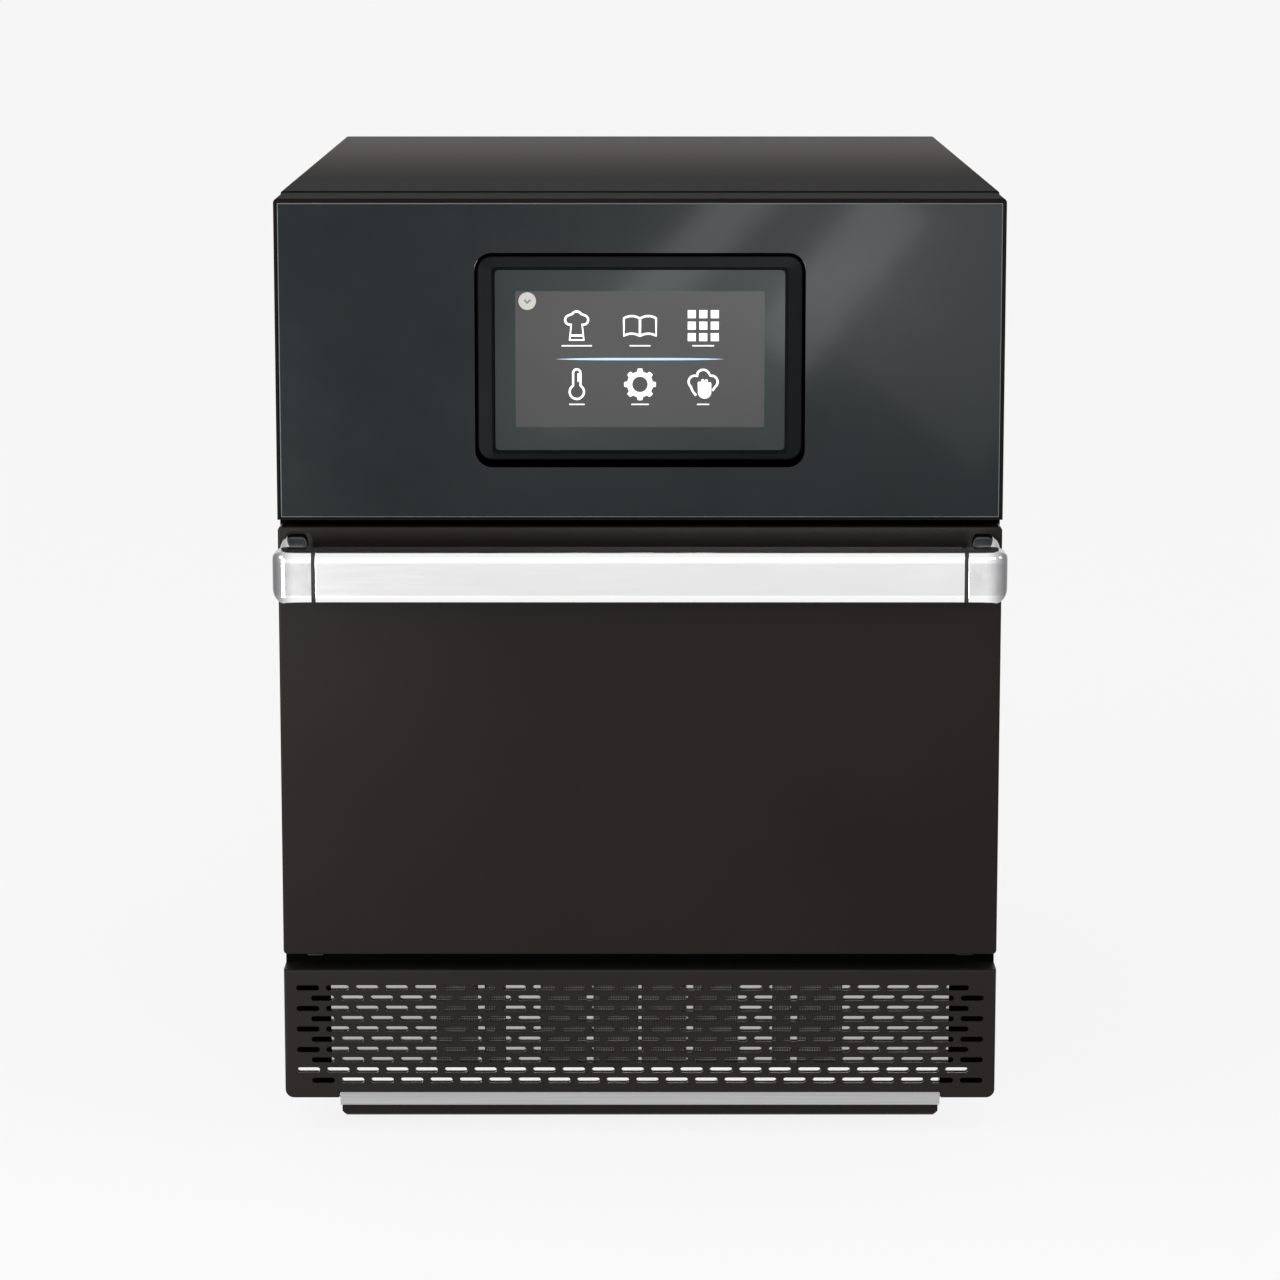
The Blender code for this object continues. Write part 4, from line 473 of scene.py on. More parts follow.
def add_node(tree, kind, inputs=None, **settings):
    """A shader node with its settings, and its inputs as values or as sockets to link."""
    made = tree.nodes.new(kind)
    for key, value in settings.items():
        setattr(made, key, value)
    for key, value in (inputs or {}).items():
        if isinstance(value, bpy.types.NodeSocket):
            tree.links.new(value, made.inputs[key])
        else:
            made.inputs[key].default_value = value
    return made


def grain(tree, place, scale, detail=3.0, rough=0.5, stretch=None):
    """A noise pattern of so many lumps a metre, drawn out or pressed together along the axes."""
    if stretch:
        place = add_node(tree, "ShaderNodeMapping", {"Vector": place, "Scale": stretch}).outputs["Vector"]
    inputs = {"Vector": place, "Scale": scale, "Detail": detail, "Roughness": rough}
    return add_node(tree, "ShaderNodeTexNoise", inputs).outputs["Fac"]


def spread(tree, value, low, high):
    """A pattern's values moved to lie from low to high."""
    near, far = NOISE_RANGE
    inputs = {"Value": value, "From Min": near, "From Max": far, "To Min": low, "To Max": high}
    return add_node(tree, "ShaderNodeMapRange", inputs).outputs["Result"]


def tinted(tree, value, first, second):
    """A colour between two, after a pattern."""
    ramp = add_node(tree, "ShaderNodeValToRGB", {"Fac": value})
    for stop, position, colour in zip(ramp.color_ramp.elements, TINT_STOPS, (first, second)):
        stop.position = position
        stop.color = (*colour, 1)
    return ramp.outputs["Color"]


def raised(tree, shader, height, distance, strength):
    """Gives the shader's surface the relief of a pattern."""
    inputs = {"Height": height, "Distance": distance, "Strength": strength}
    tree.links.new(add_node(tree, "ShaderNodeBump", inputs).outputs["Normal"], shader.inputs["Normal"])


def blend(tree, share, near, far):
    """Passes from one colour to another by a share."""
    inputs = {"Factor": share, "A": near, "B": far}
    return add_node(tree, "ShaderNodeMix", inputs, data_type="RGBA").outputs["Result"]


def rise(tree, value, start, end):
    """A soft rise from nothing at start to one at end."""
    inputs = {"Value": value, "From Min": start, "From Max": end}
    return add_node(tree, "ShaderNodeMapRange", inputs, interpolation_type="SMOOTHSTEP").outputs["Result"]


def reckon(tree, operation, *values, kind="ShaderNodeMath", result=0, **settings):
    """The result of a sum on sockets or values."""
    return add_node(tree, kind, dict(enumerate(values)), operation=operation, **settings).outputs[result]


def start_finish(name, colour, roughness, specular=0.5, metallic=0.0):
    """A material with its plain values set, and its tree, shader and Object coordinates."""
    material = bpy.data.materials.new(name)
    material.use_nodes = True
    tree = material.node_tree
    shader = tree.nodes["Principled BSDF"]
    values = {"Base Color": (*colour, 1), "Roughness": roughness}
    values.update({"Specular IOR Level": specular, "Metallic": metallic})
    for key, value in values.items():
        shader.inputs[key].default_value = value
    return material, tree, shader, add_node(tree, "ShaderNodeTexCoord").outputs["Object"]


def patterned(
    name, dark, light, roughness, specular=0.5, metallic=0.0,
    tint=(), gloss=(), swing=(0, 0), relief=(), depth=0.0, strength=0.5,
):
    """A material of up to three patterns: one tints it, one sways its gloss, one is its relief."""
    plain = light if metallic else dark
    material, tree, shader, place = start_finish(name, plain, roughness, specular, metallic)
    patterns = dict.fromkeys((tint, gloss, relief))
    made = {pattern: grain(tree, place, *pattern) for pattern in patterns if pattern}
    tree.links.new(tinted(tree, made[tint], dark, light), shader.inputs["Base Color"])
    if gloss:
        sheen = spread(tree, made[gloss], roughness + swing[0], roughness + swing[1])
        tree.links.new(sheen, shader.inputs["Roughness"])
    if relief:
        raised(tree, shader, made[relief], depth, strength)
    return material


def reopened(material):
    """A finished material's tree, shader, Object coordinates and the socket that colours it."""
    tree = material.node_tree
    shader = tree.nodes["Principled BSDF"]
    place = tree.nodes["Texture Coordinate"].outputs["Object"]
    return tree, shader, place, shader.inputs["Base Color"].links[0].from_socket


def faded(material, far, axis, middle, start, end):
    """Lets a material's colour pass into another one from start to end, along an axis from the middle."""
    tree, shader, place, colour = reopened(material)
    along = add_node(tree, "ShaderNodeSeparateXYZ", {"Vector": place}).outputs[axis]
    reach = reckon(tree, "ABSOLUTE", reckon(tree, "SUBTRACT", along, middle))
    tree.links.new(blend(tree, rise(tree, reach, start, end), colour, (*far, 1)), shader.inputs["Base Color"])
    return material


def painted_sheen_lid(material, pale, front, back, level):
    """Makes the cover's paint paler on its top towards the back: a painted sheen where the top catches the
    light.
    """
    tree, shader, place, colour = reopened(material)
    axes = add_node(tree, "ShaderNodeSeparateXYZ", {"Vector": place}).outputs
    above = reckon(tree, "GREATER_THAN", axes["Z"], level)
    share = reckon(tree, "MULTIPLY", rise(tree, axes["Y"], front, back), above)
    tree.links.new(blend(tree, share, colour, (*pale, 1)), shader.inputs["Base Color"])
    return material


def rim_shaded(material, rim_shade):
    """Makes the bezel's plastic near black and without gloss along its outer rim, as painted shade, and
    leaves it as it is inside that.
    """
    tree, shader, place, colour = reopened(material)
    low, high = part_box("screen_bezel")
    middle = (low + high) / 2 + Vector((0, 0, BEZEL_SHIFT))
    corner = (high - low) / 2 - Vector((BEZEL_ROUND, 0, BEZEL_ROUND + BEZEL_SHIFT))
    spot = reckon(tree, "SUBTRACT", place, middle, kind="ShaderNodeVectorMath")
    spot = reckon(tree, "ABSOLUTE", spot, kind="ShaderNodeVectorMath")
    spot = reckon(tree, "SUBTRACT", spot, corner, kind="ShaderNodeVectorMath")
    spot = reckon(tree, "MAXIMUM", spot, (0, 0, 0), kind="ShaderNodeVectorMath")
    spot = reckon(tree, "MULTIPLY", spot, (1, 0, 1), kind="ShaderNodeVectorMath")
    reach = reckon(tree, "LENGTH", spot, kind="ShaderNodeVectorMath", result="Value")
    inner = reckon(tree, "SUBTRACT", 1.0, rise(tree, reach, *BEZEL_SHADED_RIM))
    tree.links.new(blend(tree, inner, (*rim_shade, 1), colour), shader.inputs["Base Color"])
    shine = reckon(tree, "MULTIPLY", inner, shader.inputs["Specular IOR Level"].default_value)
    tree.links.new(shine, shader.inputs["Specular IOR Level"])
    return material


def printed_glass(*values):
    """Smooth glass with a faint bloom of handling in its gloss, under a thin coat."""
    material = patterned(*values, **GLAZED)
    shader = material.node_tree.nodes["Principled BSDF"]
    shader.inputs["Coat Weight"].default_value = COAT_WEIGHT
    shader.inputs["Coat Roughness"].default_value = COAT_ROUGHNESS
    return material


def plated_sheet(name, dark, light, roughness):
    """Zinc-plated sheet: pale crystals that catch the light one by one, and fine scratches."""
    material, tree, shader, place = start_finish(name, light, roughness, metallic=1.0)
    spangle = add_node(tree, "ShaderNodeTexVoronoi", {"Vector": place, "Scale": SPANGLES}).outputs["Color"]
    shade = add_node(tree, "ShaderNodeRGBToBW", {"Color": spangle}).outputs["Val"]
    tree.links.new(tinted(tree, shade, dark, light), shader.inputs["Base Color"])
    sheen = spread(tree, shade, roughness + SPANGLE_SWING[0], roughness + SPANGLE_SWING[1])
    tree.links.new(sheen, shader.inputs["Roughness"])
    raised(tree, shader, grain(tree, place, *SCRATCHES), *SCRATCH_RELIEF)
    return material


def circuit_board(name, dark, light):
    """A green board: lighter tracks under its lacquer."""
    material, tree, shader, place = start_finish(name, dark, 0.4)
    inputs = {"Vector": place, "Scale": TRACKS, "Mortar Size": TRACK_GAP}
    cells = add_node(tree, "ShaderNodeTexBrick", inputs)
    tree.links.new(tinted(tree, cells.outputs["Fac"], dark, light), shader.inputs["Base Color"])
    raised(tree, shader, cells.outputs["Fac"], *TRACK_RELIEF)
    return material


def lit_film(name, dark, light, glow):
    """A film of a liquid-crystal panel that is switched on, which glows unevenly by a hair."""
    material = patterned(name, dark, light, **UNEVEN)
    tree, shader, _, colour = reopened(material)
    tree.links.new(colour, shader.inputs["Emission Color"])
    shader.inputs["Emission Strength"].default_value = glow
    return material


def brushing(along, depth=0.000008):
    """The patterns of metal brushed along one axis: fine lines in its colour, gloss and relief."""
    stretch = tuple(BRUSHED_THIN if axis == along else 1.0 for axis in range(3))
    fine = (900.0, 4.0, 0.65, stretch)
    broad = (150.0, 3.0, 0.5, stretch)
    return dict(metallic=1.0, tint=fine, gloss=broad, swing=(-0.03, 0.04), relief=fine, depth=depth)


# Patterns of the finishes. A pattern is its lumps a metre, detail, roughness and stretch.
# Baked paint: a slow drift of colour, clouds of sheen and a fine orange peel
PEEL = dict(relief=(1400.0, 2.0), depth=0.00004, strength=0.3)
BAKED = dict(tint=(7.0, 2.0), gloss=(300.0, 3.0), swing=(-0.015, 0.02), **PEEL)
# Printed glass: a faint bloom of handling
GLAZED = dict(tint=(9.0, 2.0), gloss=(26.0, 5.0, 0.6), swing=(-0.03, 0.05))
# Moulded plastic: a spark-eroded grain
PITS = (2600.0, 1.0)
MOULDED = dict(tint=(60.0, 3.0), gloss=PITS, swing=(-0.05, 0.05), relief=PITS, depth=0.00005)
# Drawn metal with a blasted skin: a sparkle without direction, and a silky gloss along the bar
SPARKLE = (1600.0, 3.0, 0.6)
SILK = (500.0, 3.0, 0.5, (0.05, 1.0, 1.0))
BLASTED = dict(relief=SPARKLE, depth=0.0000008, strength=0.3)
SATIN = dict(metallic=1.0, tint=SPARKLE, gloss=SILK, swing=(-0.02, 0.03), **BLASTED)
# Buffed casting: fine upright scratches
BUFFING = (1500.0, 3.0, 0.5, (1.0, 1.0, 0.04))
BUFFED = dict(relief=BUFFING, depth=0.000003, strength=0.3)
CAST = dict(metallic=1.0, tint=(120.0, 4.0), gloss=BUFFING, swing=(-0.04, 0.05), **BUFFED)
# Scratches of plated sheet
SCRATCHES = (700.0, 3.0, 0.5, (0.05, 1.0, 1.0))
SCRATCH_RELIEF = (0.00002, 0.4)
# Rubber with a dusty, slightly uneven skin
DUSTY = dict(specular=0.3, tint=(90.0, 5.0, 0.6), relief=(1800.0, 2.0), depth=0.00008)
# Pressed mineral wool: tangled fibres
FIBRES = (700.0, 6.0, 0.7, (1.0, 0.2, 1.0))
WOOLLY = dict(specular=0.1, tint=FIBRES, relief=FIBRES, depth=0.0006, strength=0.8)
# Porous fired ceramic
SPECKS = (500.0, 4.0, 0.7)
POROUS = dict(specular=0.3, tint=SPECKS, relief=SPECKS, depth=0.0002, strength=0.6)
# A lit film under its cover
UNEVEN = dict(roughness=0.22, specular=0.3, tint=(12.0, 1.0))

PAINT = patterned(
    "black_baked_paint", (0.0062, 0.0046, 0.0041), (0.0078, 0.0060, 0.0054), 0.31, 0.105, **BAKED
)
# The cover's paint, with a painted sheen on its top that grows towards the back
COVER_PAINT = painted_sheen_lid(
    patterned("cover_baked_paint", (0.0072, 0.0058, 0.0056), (0.0088, 0.0072, 0.0068), 0.56, 0.01, **BAKED),
    LID_SHEEN_COLOUR,
    *LID_SHEEN_FADE,
)
GRILLE_PAINT = patterned(
    "grille_baked_paint", (0.0080, 0.0064, 0.0059), (0.0100, 0.0082, 0.0075), 0.42, 0.105, **BAKED
)
# A paler, glossier copy of the black paint for the sides and the rear; the paler colour is painted light,
# where the lamps give little
SIDE_PAINT_LIGHTENED = patterned(
    "side_baked_paint_lightened", (0.0100, 0.0088, 0.0083), (0.0130, 0.0115, 0.0108), 0.44, 0.16, **BAKED
)
# Black paint darker than the others and nearly without gloss, for the frame round the door: painted shade in
# the gaps round the door
GAP_SHADE = patterned(
    "door_sill_painted_shade", (0.0008, 0.0007, 0.0007), (0.0013, 0.0012, 0.0011), 0.62, 0.015, **BAKED
)
FASCIA = printed_glass("dark_printed_glass", (0.0028, 0.0052, 0.0060), (0.0038, 0.0066, 0.0076), 0.17, 0.15)
TOUCH = printed_glass("touch_glass", (0.0118, 0.0172, 0.0172), (0.0140, 0.0196, 0.0196), 0.16, 0.16)
# Pale colour for the glass's slanted edge: a painted highlight
GLASS_RIM_HIGHLIGHT = printed_glass("polished_glass_rim", (0.09, 0.10, 0.10), (0.12, 0.13, 0.13), 0.25, 0.5)
# The bezel's plastic, with painted shade along its outer rim
BEZEL_PLASTIC = rim_shaded(
    patterned(
        "bezel_black_plastic", (0.0040, 0.0050, 0.0053), (0.00340, 0.00425, 0.004505), 0.33, 0.035, **MOULDED
    ),
    (0.0002, 0.0002, 0.0002),
)
PLASTIC = patterned(
    "black_moulded_plastic", (0.012, 0.012, 0.012), (0.017, 0.017, 0.017), 0.42, 0.4, **MOULDED
)
MARK_WHITE = patterned("white_marking", (0.55, 0.55, 0.54), (0.66, 0.66, 0.65), 0.5, 0.4, **MOULDED)
WIRE = patterned("filter_wire_metal", (0.20, 0.20, 0.20), (0.34, 0.34, 0.34), 0.42, **brushing(0))
STEEL = patterned(
    "brushed_stainless", (0.62, 0.61, 0.60), (0.72, 0.71, 0.70), 0.30, **brushing(0, 0.000003)
)
PLATE_STEEL = patterned(
    "cook_plate_steel", (0.50, 0.49, 0.48), (0.62, 0.61, 0.60), 0.34, **brushing(1, 0.000003)
)
FILTER_METAL = patterned(
    "filter_sheet_metal", (0.42, 0.415, 0.42), (0.50, 0.495, 0.50), 0.18, **brushing(0, 0.000006)
)
FLANGE_METAL = patterned("polished_flange", (0.88, 0.88, 0.88), (0.97, 0.97, 0.97), 0.14, **brushing(0))
BAR_METAL = patterned("satin_handle_metal", (0.74, 0.74, 0.74), (0.83, 0.83, 0.83), 0.13, **SATIN)
END_METAL = patterned("buffed_handle_casting", (0.68, 0.68, 0.68), (0.78, 0.78, 0.78), 0.11, **CAST)
# Painted highlights along the top and bottom edges of the bar and the castings
for metal in (BAR_METAL, END_METAL):
    faded(metal, EDGE_HIGHLIGHT, "Z", BAR_MIDDLE, *EDGE_HIGHLIGHT_FADE)
# The castings' darker outer sides: a painted reflection
faded(END_METAL, END_SIDE_REFLECTION, "X", 0, *END_REFLECTION_FADE)
ZINC = plated_sheet("zinc_plated_sheet", (0.34, 0.35, 0.37), (0.52, 0.53, 0.55), 0.42)
HINGE_STEEL = plated_sheet("dark_hinge_steel", (0.020, 0.020, 0.021), (0.045, 0.045, 0.046), 0.45)
SCREW_METAL = plated_sheet("blackened_screw", (0.05, 0.05, 0.05), (0.10, 0.10, 0.10), 0.35)
WOOL = patterned("mineral_wool", (0.40, 0.36, 0.27), (0.66, 0.61, 0.50), 0.95, **WOOLLY)
FELT = patterned("filter_felt", (0.010, 0.010, 0.010), (0.035, 0.035, 0.034), 0.95, **WOOLLY)
FOOT_RUBBER = patterned("foot_rubber", (0.012, 0.012, 0.012), (0.028, 0.028, 0.027), 0.8, **DUSTY)
SEAL_RUBBER = patterned("door_seal_rubber", (0.24, 0.225, 0.20), (0.33, 0.31, 0.28), 0.7, **DUSTY)
CERAMIC = patterned("fired_ceramic", (0.52, 0.49, 0.42), (0.74, 0.72, 0.65), 0.7, **POROUS)
BOARD = circuit_board("green_board", (0.010, 0.075, 0.030), (0.030, 0.16, 0.060))
DISPLAY = lit_film("lit_display", (0.0270, 0.0262, 0.0262), (0.0312, 0.0302, 0.0302), 0.33)
ICON_WHITE = lit_film("lit_icon_white", (0.80, 0.80, 0.80), (0.86, 0.86, 0.86), 0.35)
DIVIDER_BLUE = lit_film("lit_divider_blue", (0.24, 0.42, 0.58), (0.28, 0.47, 0.64), 0.35)
KEY_CREAM = lit_film("lit_key_cream", (0.27, 0.265, 0.245), (0.31, 0.305, 0.285), 0.30)
KEY_GREY = lit_film("lit_key_grey", (0.10, 0.10, 0.09), (0.13, 0.13, 0.12), 0.35)

SLOT_FINISHES = {
    "black_paint": PAINT,
    "dark_fascia": FASCIA,
    "touch_surface": TOUCH,
    "black_plastic": PLASTIC,
    "filter_wire": WIRE,
    "stainless": STEEL,
    "handle_metal": BAR_METAL,
    "filter_metal": FILTER_METAL,
    "zinc": ZINC,
    "wool": WOOL,
    "foot_rubber": FOOT_RUBBER,
    "seal_rubber": SEAL_RUBBER,
    "board": BOARD,
    "ceramic": CERAMIC,
}
NODE_FINISHES = {
    "front_housing": COVER_PAINT,
    # The frame round the door wears painted shade
    "front_frame": GAP_SHADE,
    "hinge_arm_left": HINGE_STEEL,
    "hinge_arm_right": HINGE_STEEL,
    "hinge_bracket_left": HINGE_STEEL,
    "hinge_bracket_right": HINGE_STEEL,
    "rear_panel": SIDE_PAINT_LIGHTENED,
    "grille_panel": GRILLE_PAINT,
    "screen_bezel": BEZEL_PLASTIC,
    "handle_end_left": END_METAL,
    "handle_end_right": END_METAL,
}


def wear(piece, material):
    """Gives a piece one finish all over."""
    piece.data.materials.clear()
    piece.data.materials.append(material)
    return piece


def finish_frame():
    """Gives each node of the frame the finish of its slot, or one of its own."""
    slots = {part["node"]: part["material_slot"] for part in frame["record"]["subparts"]}
    for name, piece in NODES.items():
        wear(piece, NODE_FINISHES.get(name) or SLOT_FINISHES[slots[name]])
    # The frame's sides take the paler paint: painted light
    paint_faces(NODES["front_frame"], SIDE_PAINT_LIGHTENED, faces_sideways)


def make_handle_bar():
    """Drawn bar with round edges along its whole length, and a dark spacer at each of its ends."""
    low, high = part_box("handle_bar")
    cut = Vector((SPACER_WIDTH / 2, 0, 0))
    bar = round_block("handle_bar_satin", low + cut, high - cut, 0, BAR_ROUND, 8)
    round_rim(bar, faces_sideways, SEAM_ROUND, 2)
    fit(smoothed(bar), BAR_METAL, "door", "handle_metal", "handle_bar")
    inset = Vector((-SPACER_WIDTH / 2 - SEAM_ROUND, SPACER_SINK, SPACER_SINK))
    for side, x in (("left", low.x), ("right", high.x)):
        near = Vector((x, low.y, low.z)) + inset
        far = Vector((x, high.y, high.z)) - inset
        spacer = round_block(f"handle_spacer_{side}", near, far, 0, BAR_ROUND - SPACER_SINK, 6)
        fit(smoothed(spacer), FOOT_RUBBER, "door", "foot_rubber")


def make_handle_end():
    """Casting that carries the bar on, rounds off to its outer side, and reaches back to the door."""
    bar_low, bar_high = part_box("handle_bar")
    end_low, end_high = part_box("handle_end_right")
    depth = bar_high.y - bar_low.y
    height = bar_high.z - bar_low.z
    centre = (0, bar_low.y + depth * END_HEART, bar_low.z + height * END_HEART)
    low = (end_low.x + SPACER_WIDTH / 4, bar_low.y, bar_low.z)
    high = (end_high.x - END_ROUND, bar_high.y, bar_high.z)
    block = round_block("handle_end_block", low, high, 0, BAR_ROUND, 8)
    inset_before = 0.0
    reach_before = 0.0
    for i in range(1, SWEEP_STEPS + 1):
        turn = math.radians(90 * i / SWEEP_STEPS)
        inset = END_SQUEEZE * END_ROUND * (1 - math.cos(turn))
        reach = END_ROUND * math.sin(turn)
        scale = (1, (depth - inset) / (depth - inset_before), (height - inset) / (height - inset_before))
        sweep_on(block, 0, reach - reach_before, scale, centre)
        inset_before = inset
        reach_before = reach
    round_rim(block, faces_to(0, -1), SEAM_ROUND, 2)
    boolean(block, handle_arm(bar_low, bar_high, end_high), "UNION")
    right = turned_out(block)
    right.name = "handle_end_cast_right"
    left = mirror_copy(right, "handle_end_cast_left")
    for piece, side in ((right, "right"), (left, "left")):
        fit(smoothed(piece), END_METAL, "door", "handle_metal", f"handle_end_{side}")


def handle_arm(bar_low, bar_high, end_high):
    """Domed arm that sweeps up to the door."""
    middle = (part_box("handle_end_right")[0].x + end_high.x) / 2
    start = bar_high.y - BAR_ROUND
    low = (middle - ARM_WIDTH / 2, start, bar_low.z + ARM_RISE)
    first_reach = (end_high.y - start) / SWEEP_STEPS
    high = (middle + ARM_WIDTH / 2, start + first_reach, bar_high.z - ARM_DIP)
    arm = round_block("handle_arm", low, high, 1, ARM_WIDTH / 3, 8)
    base = bar_low.z + ARM_RISE
    height_before = bar_high.z - ARM_DIP - base
    for i in range(1, SWEEP_STEPS):
        share = (i + 1) / SWEEP_STEPS
        rise = ARM_RISE * math.sin(math.radians(90 * share)) - ARM_DIP * (1 - share)
        height = bar_high.z + rise - base
        sweep_on(arm, 1, first_reach, (1, 1, height / height_before), (middle, 0, base))
        height_before = height
    return arm


def make_fascia_glass():
    """Dark glass with a window for the bezel and a polished edge all round, whose pale colour is a painted
    highlight.
    """
    low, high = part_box("fascia_glass")
    window_low, window_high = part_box("screen_bezel")
    glass = start_block("fascia_glass_polished", low, high)
    round_rim(glass, faces_to(1, -1), GLASS_EDGE, 2)
    play = Vector((GLASS_PLAY, -GLASS_EDGE, GLASS_PLAY))
    boolean(glass, round_block("window", window_low - play, window_high + play, 1, BEZEL_ROUND, 8))
    fit(glass, FASCIA, "root", "dark_fascia", "fascia_glass")
    # The slanted edge takes its painted highlight
    paint_faces(glass, GLASS_RIM_HIGHLIGHT, lambda face: SLANTED < -face.normal.y < SQUARE_ON)


def make_grille():
    """Front pan of the air intake: ten rows of round-ended slots over a notch for the filter's lip."""
    low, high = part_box("grille_panel")
    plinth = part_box("plinth_strip")[1]
    panel = start_block("grille_panel_punched", low, high)
    round_edges(panel, long_edges_at(panel, low.z), GRILLE_CORNER, 6)
    round_rim(panel, faces_to(1, -1), GRILLE_EDGE, 3)
    hollow_out(panel, low, high, SHEET)
    notch_half = plinth.x + NOTCH_PLAY
    notch_low = (-notch_half, low.y - SHEET, low.z - SHEET)
    cut_block(panel, notch_low, (notch_half, high.y + SHEET, plinth.z + NOTCH_RISE))
    boolean(panel, slot_cutters(low.y, high.z))
    fit(smoothed(panel), GRILLE_PAINT, "air_intake", "black_paint", "grille_panel")


def slot_cutters(front, top):
    """One round-ended slot, copied over the rows, with every second row moved along."""
    length, width = SLOT_SIZE
    start = Vector((-SLOT_PITCH * (SLOT_COLUMNS - 1) / 2 - SLOT_PITCH / 4, front, top - SLOT_DROP))
    half = Vector((length / 2, 2 * SHEET, width / 2))
    slots = round_block("slots", start - half, start + half, 1, width / 2 - MERGE, 5)
    repeated(slots, [(SLOT_PITCH, 0, 0)] * (SLOT_COLUMNS - 1))
    there = (SLOT_PITCH / 2, 0, -SLOT_ROW_PITCH)
    back = (-SLOT_PITCH / 2, 0, -SLOT_ROW_PITCH)
    return repeated(slots, ([there, back] * SLOT_ROWS)[: SLOT_ROWS - 1])


def make_filter_flange():
    """Polished foot of the filter's frame, seen through the two lowest rows of slots."""
    low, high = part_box("air_filter")
    mesh_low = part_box("filter_mesh")[0]
    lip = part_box("plinth_strip")[1].x
    back = mesh_low.y - FLANGE_BACK
    front, foot = back + FLANGE_SHEET, mesh_low.z
    wide = start_block("flange_wide", (low.x, back, foot), (high.x, front, foot + FLANGE_TALL))
    tongue = start_block("flange_tongue", (-lip, back, foot - FLANGE_DROP), (lip, front, foot))
    fit(joined("filter_flange_polished", [wide, tongue]), FLANGE_METAL, "air_intake", "filter_metal")


def make_filter_mesh():
    """Woven wire screen over a dark felt."""
    low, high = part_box("filter_mesh")
    felt = start_block("filter_felt", low + Vector((0, 3 * WIRE_THICKNESS, 0)), high)
    round_rim(felt, faces_to(1, -1), WIRE_THICKNESS, 2)
    fit(felt, FELT, "air_intake", "filter_wire", "filter_mesh")
    middle = (low + high) / 2
    front = low.y + WIRE_THICKNESS
    upright = (low.x + WIRE_PITCH / 2, front, middle.z)
    uprights = start_rod("wires", upright, WIRE_THICKNESS / 2, high.z - low.z, "Z", 6)
    repeated(uprights, [(WIRE_PITCH, 0, 0)] * int((high.x - low.x) / WIRE_PITCH - 1))
    level = (middle.x, front + WIRE_THICKNESS / 2, low.z + WIRE_PITCH / 2)
    levels = start_rod("wires", level, WIRE_THICKNESS / 2, high.x - low.x, "X", 6)
    repeated(levels, [(0, 0, WIRE_PITCH)] * int((high.z - low.z) / WIRE_PITCH - 1))
    fit(smoothed(joined("filter_screen", [uprights, levels])), WIRE, "air_intake", "filter_wire")


def make_cover():
    """Folded sheet over the top and both sides, down to the base pan, with a dark seam at its front edge."""
    low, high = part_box("outer_cover")
    cover = start_block("outer_cover_folded", low - Vector((0, 0, COVER_SKIRT)), high)
    round_edges(cover, long_edges_at(cover, high.z), COVER_FOLD, 4)
    round_rim(cover, faces_to(1, -1), COVER_FRONT_EDGE, 3)
    inner_low = (low.x + COVER_SHEET, low.y - COVER_SHEET, low.z - COVER_SHEET - COVER_SKIRT)
    inner_high = (high.x - COVER_SHEET, high.y + COVER_SHEET, high.z - COVER_SHEET)
    cut_block(cover, inner_low, inner_high)
    fit(smoothed(cover), COVER_PAINT, "root", "black_paint", "outer_cover")
    # The cover's sides take the paler paint: painted light
    paint_faces(cover, SIDE_PAINT_LIGHTENED, faces_sideways)
    for side, x in (("left", low.x + SCREW_RISE), ("right", high.x - SCREW_RISE)):
        depths = [low.y + share * (high.y - low.y) for share in COVER_SCREW_SHARES]
        places = [(x, y, low.z + COVER_SCREW_RISE) for y in depths]
        make_screws(f"cover_screws_{side}", places, 0, math.copysign(1, x), "root")


def make_rear_screws():
    """Screws down both edges of the rear panel, and four round each fan."""
    low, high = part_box("rear_panel")
    places = []
    for x in (low.x + REAR_SCREW_INSET, high.x - REAR_SCREW_INSET):
        places += [(x, high.y, low.z + share * (high.z - low.z)) for share in REAR_SCREW_SHARES]
    make_screws("rear_panel_screws", places, 1, 1, "root")
    for side in ("left", "right"):
        fan_low, fan_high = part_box(f"cooling_fan_frame_{side}")
        corners = []
        for x in (fan_low.x + FAN_SCREW_INSET, fan_high.x - FAN_SCREW_INSET):
            corners += [(x, high.y, z) for z in (fan_low.z + FAN_SCREW_INSET, fan_high.z - FAN_SCREW_INSET)]
        make_screws(f"fan_screws_{side}", corners, 1, 1, "root")


def make_screws(name, places, axis, sign, body):
    """One pan-head screw, copied to places on faces that look along one axis."""
    first = screw_head(axis, sign)
    screws = [copy_to(first, "screw", place) for place in places]
    bpy.data.objects.remove(first, do_unlink=True)
    fit(smoothed(joined(name, screws)), SCREW_METAL, body, "zinc")


def screw_head(axis, sign):
    """A low round head with a cross cut into it, at the origin."""
    head = start_rod("screw", (0, 0, 0), SCREW_RADIUS, 2 * SCREW_RISE, "XYZ"[axis], 20)
    round_rim(head, faces_to(axis, sign), SCREW_RISE / 2, 3)
    for turn in (1, 2):
        half = Vector((SCREW_SLOT, SCREW_SLOT, SCREW_SLOT))
        half[(axis + turn) % 3] = SCREW_RADIUS / 2
        centre = Vector((0, 0, 0))
        centre[axis] = sign * SCREW_RISE
        cut_block(head, centre - half, centre + half)
    return head


